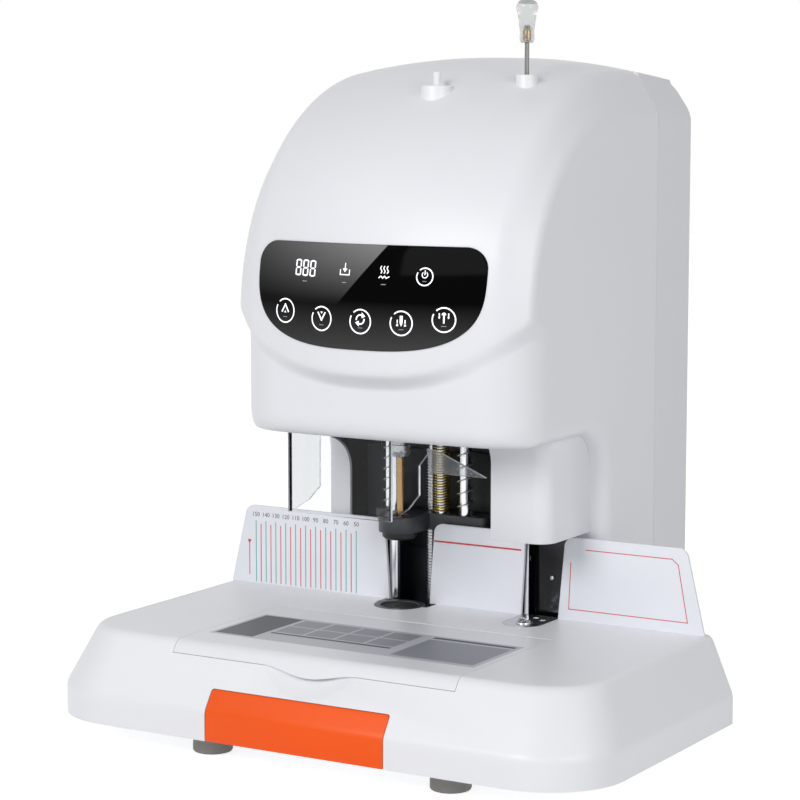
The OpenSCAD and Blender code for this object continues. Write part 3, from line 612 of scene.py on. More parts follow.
def neck_mouth():
    """The opening in the neck, with an arched upper left corner."""
    foot, top = FOOT_Z - 1, HEAD_Z + 12
    pts = [(MOUTH_X1, foot), (MOUTH_X1, top), (MOUTH_X0, top), (MOUTH_X0, ARCH_Z)]
    pts += [(MOUTH_X0 + ARCH_W * sin(a), ARCH_Z - ARCH_H * (1 - cos(a))) for a in map(radians, range(0, 91, 6))]
    return prism(pts + [(MOUTH_X0 + ARCH_W, foot)], NECK_Y - 50, NECK_Y + 10, "xz")


COVER_X0, COVER_X1, COVER_Y, COVER_Z, FLARE = 66.5, 116.5, -22.0, 161.0, 22.0
COVER_ZS = [COVER_Z, 185, 205, HEAD_Z - FLARE] + [HEAD_Z - FLARE + FLARE * sin(k * pi / 24) for k in range(1, 13)]


def cover_plan(z, inset):
    """Plan of the rivet cover, which flares out below the head."""
    s = min(1.0, max(0.0, (z - HEAD_Z + FLARE) / FLARE))
    g = 1 - sqrt(max(0.0, 1 - s * s))
    x0, x1, y0, r = COVER_X0 + inset, COVER_X1 + 5 * g - inset, COVER_Y - 20 * g + inset, 14.0 - inset
    return [(x0, y0)] + arc(x1 - r, y0 + r, r, -90, 0, 14) + [(x1, NECK_Y), (x0, NECK_Y)]


def cover_form(inset=0.0):
    return solid(skin([[(x, y, z) for x, y in cover_plan(z, inset)] for z in COVER_ZS]))


GLASS_HW, GLASS_Z0, GLASS_Z1, GLASS_R = 100.4, 313.0, 392.0, 17


def glass_low(x):
    return GLASS_Z0 + 60 * (1 - max(0.0, 1 - (x / GLASS_HW) ** 3) ** (1 / 3))


def glass_top(x):
    return GLASS_Z1 - GLASS_R * (1 - sqrt(max(0.0, 1 - (max(0.0, x - GLASS_HW + GLASS_R) / GLASS_R) ** 2)))


def glass_form(grow, front, back, n=40, rows=16):
    """The touch glass as a lens of even thickness laid on the visor's surface."""
    rings = []
    for x in mirrored([GLASS_HW * sin(k * pi / 2 / n) for k in range(n)] + [GLASS_HW - 0.05]):
        ax = abs(x)
        lo, hi = glass_low(ax) - grow, glass_top(ax) + grow
        at = x * (1 + grow / GLASS_HW)
        zs = [lerp(hi, lo, i / rows) for i in range(rows + 1)]
        rings.append([(at, visor_front(ax, z) - front, z) for z in zs]
                     + [(at, visor_front(ax, z) + back, z) for z in zs[::-1]])
    return solid(skin(rings))


def line_neck(o):
    """The neck's inner faces take the dark inner material, painted shade inside the neck. Faces that look out of the
    shell stay white.
    """
    o.data.materials.append(M["panel"])
    for p in o.data.polygons:
        c, n = p.center, p.normal
        inside = (abs(c.x) < (BODY_HW - WALL + 0.1) * MM and c.y > (NECK_Y + WALL - 0.1) * MM
                  and c.z < (HEAD_Z + 30) * MM)
        if inside and n.y > -0.2 and n.x * c.x <= 0.2 * abs(c.x):
            p.material_index = 1


TUBE_AT, DRILL, RIVET = (12.0, -12.0), (-44.0, 25.0), (76.6, 14.0)
PIN_AT = RIVET
BORE_Z0, BORE_Z1 = 480, 540

shell = join(cut(head_form(0), *side_bevels(0)), neck_form(0))
inner = cut(head_form(WALL, 18, 18, 6), *side_bevels(WALL))
cut(shell, inner, neck_form(WALL), neck_mouth())
cut(shell, box((-88, -50, HEAD_Z - 5), (60, NECK_Y + 5, HEAD_Z + 20)),
    box((69.5, -16, HEAD_Z - 5), (112, NECK_Y + 5, HEAD_Z + 20)), cover_form(-0.1), glass_form(0.25, 2.0, 1.2),
    cyl(*TUBE_AT, BORE_Z0, BORE_Z1, 12.0), cyl(*PIN_AT, BORE_Z0, BORE_Z1, 8.3))
# the shell's inner neck faces are painted dark as painted shade
line_neck(finish_piece(shell, "shell_front", "shell", "front_shell"))
finish_piece(glass_form(0.0, 0.8, 0.8), "touch_glass", "glass", "control_glass", edge=0.35, segs=3,
             smooth=30)


def top_section(y, d):
    """Crest line of the rear moulding at depth y, from side to side."""
    s = (y - SEAM_Y) / (BACK_Y - SEAM_Y)
    zc, da = CREST_Z - 2.4 * s, lerp(12, 16, s)
    out = []
    for x in mirrored(column_list(30)):
        ax = abs(x)
        if ax <= CREASE_X:
            dep = da * (ax / CREASE_X) ** lerp(2, 1.7, s)
        else:
            dep = band_depth(ax, 1) + (da - 12) * (1 - (ax - CREASE_X) / (BODY_HW - CREASE_X))
        out.append((x * (BODY_HW - d) / BODY_HW, zc - dep - d))
    return out


def rear_form(d):
    if d:
        z0, ys = FOOT_Z - 1, [(SEAM_Y - 1, 0.0), (BACK_Y - WALL, 0.0)]
    else:
        # a shadow line at the seam, then the rounded back edge
        z0, ys = FOOT_Z, [(SEAM_Y, 0.7), (SEAM_Y + 0.9, 0.7), (SEAM_Y + 1.2, 0.0), (150, 0.0), (165, 0.0), (185, 0.0)]
        ys += [(BACK_Y - 4 + 4 * sin(k * pi / 16), 2.4 * (1 - cos(k * pi / 16))) for k in range(9)]
    rings = []
    for y, e in ys:
        k = (BODY_HW - d - e) / (BODY_HW - d)
        hw = (BODY_HW - d) * k
        rings.append([(x * k, y, z - e) for x, z in top_section(max(y, SEAM_Y), d)] + [(hw, y, z0), (-hw, y, z0)])
    return solid(skin(rings))


def opening(at, hw, hh):
    return box((at[0] - hw, BACK_Y - 5, at[1] - hh), (at[0] + hw, BACK_Y + 1, at[1] + hh))


INLET, SWITCH = (-72.0, 96.0), (-24.0, 96.0)
LOUVRES, LOUVRE_X, LOUVRE_HW, LOUVRE_Z, LOUVRE_STEP, LOUVRE_H = 12, 62, 34, 150, 9, 3.2
rear = cut(rear_form(0), rear_form(WALL))
for side in (-1, 1):
    x0, x1 = side * LOUVRE_X - LOUVRE_HW, side * LOUVRE_X + LOUVRE_HW
    for i in range(LOUVRES):
        z = LOUVRE_Z + i * LOUVRE_STEP
        slot = rounded([(x0, z), (x1, z), (x1, z + LOUVRE_H), (x0, z + LOUVRE_H)], [1.5] * 4, 4)
        cut(rear, prism(slot, BACK_Y - 6, BACK_Y + 5, "xz"))
cut(rear, opening(INLET, 14, 10.5), opening(SWITCH, 10, 6.5))
finish_piece(rear, "shell_rear", "rear", "rear_shell")

hole = rounded([(COVER_X0 + 2, COVER_Y + 2.5), (COVER_X1 - 2.5, COVER_Y + 2.5), (COVER_X1 - 2.5, NECK_Y + 20),
                (COVER_X0 + 2, NECK_Y + 20)], [8, 14, 1, 1], 8)
cover = cut(cover_form(), prism(hole, COVER_Z - 1, HEAD_Z + 1))
finish_piece(cover, "head_cover", "shell", "rivet_cover", edge=0.5)


# ---- base
BASE_HW, BASE_FRONT, BASE_BACK, BASE_Z, KINK_Z, TABLE_Z, BASE_R = 240.5, 202.0, 50.0, 22.0, 45.0, 90.0, 62.0
LID_HW, LID_Y, LID_GAP = 124.0, -29.0, 0.4
LIP_Z = TABLE_Z - 9.5
TONGUE_W, TONGUE_H = 42.0, 5.3
DRAWER_HW = 78.0


def base_profile(d):
    """Height, half width, front reach and corner radius up the wall, with the edges rolled over."""
    key = [np.array(k) for k in ((BASE_Z, 0.0, 0.0, 0.0), (KINK_Z, 0.0, 0.0, 0.0), (TABLE_Z, 19.0, 30.4, 17.5),
                                 (TABLE_Z, 60.0, 71.0, 40.0))]
    pts = [key[0]]
    for a, k, b, reach in zip(key, key[1:], key[2:], (4.0, 7.0)):
        u, v = a - k, b - k
        lu, lv = np.linalg.norm(u[:3]), np.linalg.norm(v[:3])
        start, end = k + u * min(reach / lu, 0.48), k + v * min(reach / lv, 0.48)
        pts += [bez(start, k, end, t) for t in np.linspace(0, 1, 7)]
    out = []
    for z, w, f, r in pts:
        if z <= BASE_Z:
            drop = 1 if d else 0
        else:
            drop = d * (0.4 if z < TABLE_Z - 3 else 1.0)
        out.append((z - drop, BASE_HW - w - d, BASE_FRONT - f - d, BASE_R - r - d * 0.5))
    return out


def base_plan(hw, front, back, r, n=26):
    left, right = arc(-hw + r, -front + r, r, 180, 270, n), arc(hw - r, -front + r, r, 270, 360, n)
    return left + right + [(hw, back), (-hw, back)]


def base_form(d):
    return solid(skin([[(x, y, z) for x, y in base_plan(hw, front, BASE_BACK - d, r)]
                       for z, hw, front, r in base_profile(d)]))


def base_walls():
    return cut(base_form(0), base_form(WALL))


def lip_line(x, g):
    tongue = TONGUE_H * (0.5 + 0.5 * cos(pi * x / TONGUE_W)) if abs(x) < TONGUE_W else 0.0
    return LIP_Z - g - tongue


def lid_zone(g, y1=LID_Y):
    """Everything that belongs to the lid, down to its lip with the tongue."""
    hw = LID_HW + g
    xs = [-hw, -TONGUE_W - 6, *np.linspace(-TONGUE_W, TONGUE_W, 29), TONGUE_W + 6, hw]
    poly = [(x, lip_line(x, g)) for x in xs] + [(hw, TABLE_Z + 1), (-hw, TABLE_Z + 1)]
    return prism(poly, -BASE_FRONT - 2, y1 + g, "xz")


def ball(at, r, n=180, m=90):
    rings = []
    for j in range(1, m):
        a = pi * j / m
        rings.append([(x, y, at[2] - r * cos(a)) for x, y in circle(at[0], at[1], r * sin(a), n)])
    return solid(skin(rings))


def drawer_outline(grow, z0, z1, radii):
    hw = DRAWER_HW + grow
    return rounded([(-hw, z0), (hw, z0), (hw, z1), (-hw, z1)], radii, 4)


# a ball in front of the slope leaves the shallow finger scoop
SCOOP_AT, SCOOP_R = (0.0, -283.2, 179.3), 150.0
TRAY_X, TRAY_Y0, TRAY_Y1, TRAY_Z, TRAY_TOP = 112.0, -158.0, -40.0, 63.0, TABLE_Z - WALL - LID_GAP
CUT_Z0, CUT_Z1 = 80, TABLE_Z + 1
DRILL_WELL_X0, DRILL_WELL_X1, DRILL_WELL_R, RIVET_WELL_R = -67, -18.5, 21.0, 16.6

base = base_walls()
back = cut(base_form(WALL - 0.5), base_form(2 * WALL + LID_GAP))
within(back, box((-LID_HW - 4, -BASE_FRONT, LIP_Z - 12), (LID_HW + 4, LID_Y + 4, TABLE_Z)))
join(base, back, within(ball(SCOOP_AT, SCOOP_R + WALL), base_form(0.4)),
     box((-TRAY_X - 3, TRAY_Y0 - 3, TRAY_Z - 3), (TRAY_X + 3, TRAY_Y1 + 3, TRAY_TOP)))
join(base, cut(box((-BODY_HW, BASE_BACK, BASE_Z), (BODY_HW, BACK_Y, FOOT_Z)),
               box((-BODY_HW + WALL, BASE_BACK - 1, BASE_Z - 1), (BODY_HW - WALL, BACK_Y - WALL, FOOT_Z + 1))))
drill_well = [(DRILL_WELL_X0, DRILL[1])] + arc(*DRILL, DRILL_WELL_R, 180, 360, 48)
drill_well += [(DRILL_WELL_X1, DRILL[1]), (DRILL_WELL_X1, BASE_BACK + 1), (DRILL_WELL_X0, BASE_BACK + 1)]
rivet_well = arc(*RIVET, RIVET_WELL_R, 180, 360, 40)
rivet_well += [(RIVET[0] + side * RIVET_WELL_R, BASE_BACK + 1) for side in (1, -1)]
cut(base, cut(lid_zone(LID_GAP), base_form(WALL + LID_GAP)), ball(SCOOP_AT, SCOOP_R),
    box((-TRAY_X, TRAY_Y0, TRAY_Z), (TRAY_X, TRAY_Y1, TABLE_Z + 2)),
    prism(drill_well, CUT_Z0, CUT_Z1), prism(rivet_well, CUT_Z0, CUT_Z1), cyl(2.4, 51, CUT_Z0, CUT_Z1, 6.5, 40),
    box((-124, BASE_BACK - 8, BASE_Z - 1), (124, BASE_BACK + 1, TABLE_Z - WALL)),
    prism(drawer_outline(0.5, BASE_Z - 2, 60.5, [0, 0, 2.5, 2.5]), -BASE_FRONT - 1, -BASE_FRONT + 40, "xz"))
finish_piece(base, "base_body", "base", "base_shell")

lid = within(base_walls(), lid_zone(0, LID_Y - WALL / 2 + 0.02))
join(lid, prism(circle(LID_Y - WALL / 2, TABLE_Z - WALL / 2, WALL / 2, 32), -LID_HW, LID_HW, "yz"))
finish_piece(lid, "flip_lid", "lid", "table_lid", "lid")

front = within(base_walls(), prism(drawer_outline(0, BASE_Z, 60, [1.5, 1.5, 2.5, 2.5]),
                                    -BASE_FRONT - 1, -BASE_FRONT + 30, "xz"))
trough = cut(box((-DRAWER_HW + 6, -BASE_FRONT + WALL, BASE_Z + 3.5), (DRAWER_HW - 6, -25, 57)),
             box((-DRAWER_HW + 8, -BASE_FRONT + 18, BASE_Z + 5.5), (DRAWER_HW - 8, -27, 58)))
join(front, within(trough, base_form(WALL - 0.4)))
finish_piece(front, "drawer", "orange", "chip_drawer", "drawer", 0.5, 3)


# ---- fence with its print
FENCE_Y, FENCE_T, FENCE_H = 40.0, 3.0, 67.0


def fence_outline(xl0, xl1, xr0, xr1, rl, rr, n=14):
    """Plate between leaning ends, from its foot xl0..xr0 to its top xl1..xr1."""
    right = arc(xr1 - rr, FENCE_H - rr, rr, 5, 90, n)
    left = arc(xl1 + rl, FENCE_H - rl, rl, 90, 175, n)
    return [(x, z + TABLE_Z) for x, z in [(xl0, 0), (xr0, 0)] + right + left]


for side, ends, (x0, x1, reach) in (
        ("left", (-220, -206, -62.8, -66.9, 9, 8), (-200, -90, 7)),
        ("middle", (-24.5, -20.4, 60.1, 64, 8, 2), (-12, 28, 5)),
        ("right", (93.3, 98.8, 220, 206, 8, 9), (110, 200, 7))):
    plate = prism(fence_outline(*ends), FENCE_Y, FENCE_Y + FENCE_T, "xz")
    join(plate, box((x0, FENCE_Y + FENCE_T - 0.1, TABLE_Z), (x1, FENCE_Y + reach, TABLE_Z + 4)))
    finish_piece(plate, "fence_plate_" + side, "fence", "fence_" + side, edge=0.45, segs=3)


def printed(name, polys, mat, at, body="frame"):
    """Flat printed shapes, whose 2-D points at() sets just proud of their face."""
    verts, faces = [], []
    for poly in polys:
        faces.append(tuple(range(len(verts), len(verts) + len(poly))))
        verts += [at(*p) for p in poly]
    return place(make(name, verts, faces, mat), body)


def bar(x0, x1, z0, z1):
    return [(x0, z0), (x1, z0), (x1, z1), (x0, z1)]


def upright(x, hw, z0, z1):
    return bar(x - hw, x + hw, z0, z1)


def strip(points, w):
    """A line of even width, a quad for each stretch."""
    out = []
    for (x0, z0), (x1, z1) in zip(points, points[1:]):
        length = hypot(x1 - x0, z1 - z0)
        ex, ez = (x1 - x0) / length * w / 2, (z1 - z0) / length * w / 2
        out.append([(x0 - ex - ez, z0 - ez + ex), (x0 - ex + ez, z0 - ez - ex),
                    (x1 + ex + ez, z1 + ez - ex), (x1 + ex - ez, z1 + ez + ex)])
    return out


PRINT_Y = FENCE_Y - 0.05
SCALE_X, SCALE_N, SCALE_TOP, SCALE_HW, SCALE_Z0 = -194.8, 11, 150, 0.42, 91.5


def on_fence(x, z):
    return (x, PRINT_Y, z)


marks_x = [SCALE_X + 10 * i for i in range(SCALE_N)]
printed("scale_green", [upright(x, SCALE_HW, SCALE_Z0, 144) for x in marks_x], "green", on_fence)
printed("scale_red", [upright(x + 5, SCALE_HW, SCALE_Z0, 141.3) for x in marks_x[:-1]], "red", on_fence)
printed("scale_pointer", [[(-203.6, 127.2), (-199.6, 127.2), (-201.6, 123.4)], bar(-202.0, -201.2, 97, 124)],
        "red", on_fence)
printed("height_line", [bar(-20.0, 60.2, 141.8, 143.2)], "red_dark", on_fence)
frame_line = [(118, 147.9), (192.3, 147.9), (197.4, 143.7), (205.8, 99.2), (103, 99.3), (104.7, 136.5)]
printed("frame_line", strip(frame_line, 0.7), "red", on_fence)


def number(value, size, x, z):
    """A number of the scale, as a flat mesh made from text."""
    name = "scale_number_%d" % value
    cu = bpy.data.curves.new(name, "FONT")
    cu.body = str(value)
    cu.size = size * MM
    cu.align_x = cu.align_y = "CENTER"
    cu.resolution_u = 3
    o = bpy.data.objects.new(name + "_src", cu)
    scene.collection.objects.link(o)
    me = bpy.data.meshes.new_from_object(o.evaluated_get(bpy.context.evaluated_depsgraph_get()))
    bpy.data.objects.remove(o)
    verts = [(x + v.co.x / MM, PRINT_Y, z + v.co.y / MM) for v in me.vertices]
    place(make(name, verts, [tuple(p.vertices) for p in me.polygons], "ink"))


for i, x in enumerate(marks_x):
    number(SCALE_TOP - 10 * i, 5.2, x, 149.2)

# generic grey layout on the lid
X0, X1, Y0, Y1 = -116.0, 119.0, -142.0, -63.5
BLOCK_X, SIDE_X, SIDE_X1 = X0 + 42, X0 + 160, X1 - 4
dark = [bar(X0 + 3, X0 + 38, Y0 + 4, Y1 - 3), bar(BLOCK_X, X0 + 150, Y0 + 22, Y0 + 26),
        bar(SIDE_X, SIDE_X1, Y1 - 9, Y1 - 4)]
corners = [(BLOCK_X + 27.5 * i, Y0 + 29 + 23.5 * j) for i in range(4) for j in range(2)]
mid = [bar(x, x + 25.0, y, y + 21.0) for x, y in corners] + [bar(SIDE_X, SIDE_X1, Y0 + 6, Y1 - 13)]
for name, polys, mat, lift in (("ground", [bar(X0, X1, Y0, Y1)], "grey1", 0.03), ("dark", dark, "grey3", 0.06),
                               ("mid", mid, "grey2", 0.06)):
    printed("lid_print_" + name, polys, mat, lambda x, y: (x, y, TABLE_Z + lift), "lid")


# ---- touch panel marks, laid on the glass
def on_glass(x, z):
    return (x, visor_front(x, z) - 0.86, z)


def on_panel(name, polys, mat="white_mark"):
    printed("panel_" + name, polys, mat, on_glass)


def open_ring(cx, cz, r, w, a0, a1, n=48):
    """Part of a ring, as short quads."""
    inner, outer = arc(cx, cz, r - w / 2, a0, a1, n), arc(cx, cz, r + w / 2, a0, a1, n)
    return [[inner[i], outer[i], outer[i + 1], inner[i + 1]] for i in range(n)]


def digit8(cx, cz, w=5.6, h=12.4, t=1.2, g=0.3):
    """Seven-segment eight."""
    out = []
    for z in (cz + h / 2 - t / 2, cz, cz - h / 2 + t / 2):
        x0, x1 = cx - w / 2 + g, cx + w / 2 - g
        out.append([(x0 + t * 0.5, z), (x0 + t, z + t / 2), (x1 - t, z + t / 2), (x1 - t * 0.5, z),
                    (x1 - t, z - t / 2), (x0 + t, z - t / 2)])
    for x in (cx - w / 2 + t / 2, cx + w / 2 - t / 2):
        for z0, z1 in ((cz + g, cz + h / 2 - g), (cz - h / 2 + g, cz - g)):
            out.append([(x, z0), (x + t / 2, z0 + t / 2), (x + t / 2, z1 - t / 2), (x, z1),
                        (x - t / 2, z1 - t / 2), (x - t / 2, z0 + t / 2)])
    return out


on_panel("digits", digit8(-58.9, 372.8) + digit8(-51.9, 372.6) + digit8(-44.9, 372.4))
# indicators: a chip tray with an arrow into it, rising heat over a wave, and the power key
on_panel("mark_tray", strip([(-18.6, 372.6), (-18.6, 369.0), (-10.4, 369.0), (-10.4, 372.6)], 0.8)
         + strip([(-14.5, 377.4), (-14.5, 372.6)], 0.8) + [[(-16.6, 373.6), (-12.4, 373.6), (-14.5, 370.8)]])
heat = []
for x in (-2.7, 0.0, 2.7):
    heat += strip([(20.0 + x + 0.6 * sin(k * 2 * pi / 10), 371.4 + k * 0.5) for k in range(11)], 0.7)
heat += strip([(15.9, 368.0), (17.5, 369.2), (19.0, 367.7), (20.5, 369.2), (22.0, 367.7), (24.3, 368.8)], 0.8)
on_panel("mark_heat", heat)
on_panel("dashes", [bar(x - w / 2, x + w / 2, z - 0.28, z + 0.28)
                    for x, z, w in ((-51.9, 362.6, 4.4), (-14.5, 363.2, 4.0), (20.0, 363.0, 4.0))], "dim_mark")
on_panel("power", open_ring(53.4, 369.8, 6.4, 0.95, -208, 132) + open_ring(53.4, 371.2, 2.2, 0.7, 128, 412, 24)
         + strip([(53.4, 374.2), (53.4, 371.4)], 0.75))
BUTTONS = ((-70.2, 339.2), (-33.9, 335.1), (1.6, 334.6), (36.4, 334.8), (70.2, 338.5))
on_panel("rings", [quad for x, z in BUTTONS for quad in open_ring(x, z, 9.0, 1.05, -208, 132)])
# up and down chevrons, a turn, and the two tools' marks
x, z = BUTTONS[0]
marks = strip([(x - 3.2, z - 0.6), (x, z + 4.8), (x + 3.2, z - 0.6)], 1.2)
marks += [[(x - 1.1, z - 1.5), (x + 1.1, z - 1.5), (x, z + 0.2)]]
x, z = BUTTONS[1]
marks += strip([(x - 3.2, z + 4.4), (x, z - 1.0), (x + 3.2, z + 4.4)], 1.2)
marks += [[(x, z + 3.6), (x + 1.1, z + 5.3), (x - 1.1, z + 5.3)]]
x, z = BUTTONS[2]
marks += open_ring(x, z + 1.6, 3.4, 1.15, 70, 190, 16) + open_ring(x, z + 1.6, 3.4, 1.15, 250, 370, 16)
marks += [[(x + 1.2, z + 7.0), (x + 1.2, z + 2.6), (x + 4.4, z + 4.0)],
          [(x - 1.2, z - 3.8), (x - 1.2, z + 0.6), (x - 4.4, z - 0.8)]]
x, z = BUTTONS[3]
marks += [upright(x, 1.2, z + 0.4, z + 5.6), [(x - 1.2, z + 0.2), (x + 1.2, z + 0.2), (x, z - 2.4)]]
for x1 in (x - 3.2, x + 3.2):
    marks += [upright(x1, 0.45, z - 0.2, z + 2.6), upright(x1, 0.8, z - 2.2, z - 0.8)]
x, z = BUTTONS[4]
marks += [[(x + 1.7 * cos(pi * k / 8), z + 3.6 + 1.9 * sin(pi * k / 8)) for k in range(9)],
          upright(x, 0.6, z - 2.6, z + 3.4)]
for x1 in (x - 3.6, x + 3.6):
    marks += [upright(x1, 0.45, z + 2.4, z + 5.0), [(x1 - 0.9, z + 2.2), (x1, z + 0.6), (x1 + 0.9, z + 2.2)]]
on_panel("marks", marks)
on_panel("button_dashes", [upright(x, 2.0, z - 5.0, z - 4.5) for x, z in BUTTONS] + [bar(51.8, 55.0, 366.2, 366.6)],
         "dim_mark")


# ---- mechanism
BAR_TOP, CROSS_Z, CROSS_TOP, PRESS_TRAVEL = 164.0, 270.0, 284.0, 45.0
ROD_L, ROD_M, COL_L, COL_R, SCREW = (-71.5, 54.0), (-19.5, 51.0), (-62.0, 48.0), (2.4, 51.0), (-35.0, 62.0)


def tube(points, r, sides):
    """Round tube along points, its section carried without twist."""
    pts = [np.array(p, float) for p in points]
    rings, up = [], None
    for i, p in enumerate(pts):
        t = pts[min(i + 1, len(pts) - 1)] - pts[max(i - 1, 0)]
        t /= np.linalg.norm(t)
        if up is None:
            up = np.cross(t, [0.3, 0.9, 0.2])
        up = up - t * np.dot(up, t)
        up /= np.linalg.norm(up)
        side = np.cross(t, up)
        turns = [2 * pi * k / sides for k in range(sides)]
        rings.append([tuple(p + r * (cos(a) * up + sin(a) * side)) for a in turns])
    return skin(rings)


def coil(name, at, r, wire, turns, mat, node, slot, segs=28, sides=12):
    """Spring from the bar to the crosshead."""
    n, height = int(turns * segs), CROSS_Z - BAR_TOP
    pts = []
    for i in range(n + 1):
        a = 2 * pi * turns * (i / n)
        pts.append((at[0] + r * cos(a), at[1] + r * sin(a),
                    BAR_TOP + wire * 0.55 + (height - wire * 1.1) * (i / n)))
    o = make(name, *tube(pts, wire / 2, sides), mat)
    tidy(o, 1e-7)
    soften(o, 50)
    place(o, "presser", [node])
    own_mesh(o)


gold_steps = ((24, 8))
coil("press_spring_gold", ROD_M, 6.3, 1.15, 48, "gold", "gold_spring", "gold_zinc", *gold_steps)
coil("press_spring_left", ROD_L, 3.9, 0.9, 12, "spring", "left_spring", "spring_steel")
coil("press_spring_right", COL_R, 6.2, 1.0, 10, "spring", "right_spring", "spring_steel")


def screw_thread(r=4.6, depth=1.0, pitch=2.4, z0=62.5, z1=285.0, segs=24):
    """Lead screw: a trapezoid thread round a rod, with steel crests between grooves that take a dark material as
    painted shade.
    """
    n = int((z1 - z0) / pitch * segs)
    prof = ((0.0, r - depth), (0.18, r - depth), (0.36, r), (0.64, r), (0.82, r - depth))
    m = len(prof)
    verts, faces = [], []
    for i in range(n + 1):
        a = 2 * pi * i / segs
        for u, rr in prof:
            z = z0 + pitch * (i / segs + u) - pitch
            verts.append((SCREW[0] + rr * cos(a), SCREW[1] + rr * sin(a), min(z1, max(z0, z))))
    for i in range(n):
        for j in range(i * m, i * m + m - 1):
            faces.append((j, j + m, j + m + 1, j + 1))
        k = i + segs
        if k <= n:
            faces.append((i * m + m - 1, (i + 1) * m + m - 1, (k + 1) * m if k + 1 <= n else k * m, k * m))
    o = make("screw_thread", verts, [f for f in faces if len(set(f)) > 2], "steel", "dark")
    co = [v.co / MM for v in o.data.vertices]
    # faces deep in the grooves are painted dark: painted shade in the thread
    for p in o.data.polygons:
        least = min(hypot(co[i].x - SCREW[0], co[i].y - SCREW[1]) for i in p.vertices)
        p.material_index = 0 if least > r - 0.5 * depth else 1
    soften(o, 28)
    place(o, "screw")


def post(r, z0, z1):
    return [(0, z0), (r - 0.6, z0), (r, z0 + 0.6), (r, z1 - 0.6), (r - 0.6, z1), (0, z1)]


def guide_rod(r):
    """Rod with a collar that rests on the crosshead."""
    z = CROSS_TOP
    return [(0, 151), (r, 151), (r, z + 0.1), (r + 2.2, z + 0.1), (r + 2.5, z + 0.5), (r + 2.5, z + 3.6),
            (r + 2.1, z + 4), (r, z + 4), (r, z + 5.6), (r - 0.8, z + 7), (0, z + 7)]


screw_thread()
FOOT = [(0, 3), (5.6, 3), (6, 2.6), (6, 0), (13.4, 0), (14.6, 0.4), (15.4, 1.6), (15.5, 3.0), (15.1, 16),
        (15.1, 17.4), (15.4, 18), (15.2, 22), (0, 22)]
HEATER = [(0, 178), (6, 178)]
for z in (179, 184, 189, 194):
    HEATER += [(7.1, z), (7.4, 0.3 + z), (7.4, 2.7 + z), (7.1, z + 3), (6, z + 3), (6, z + 5)]
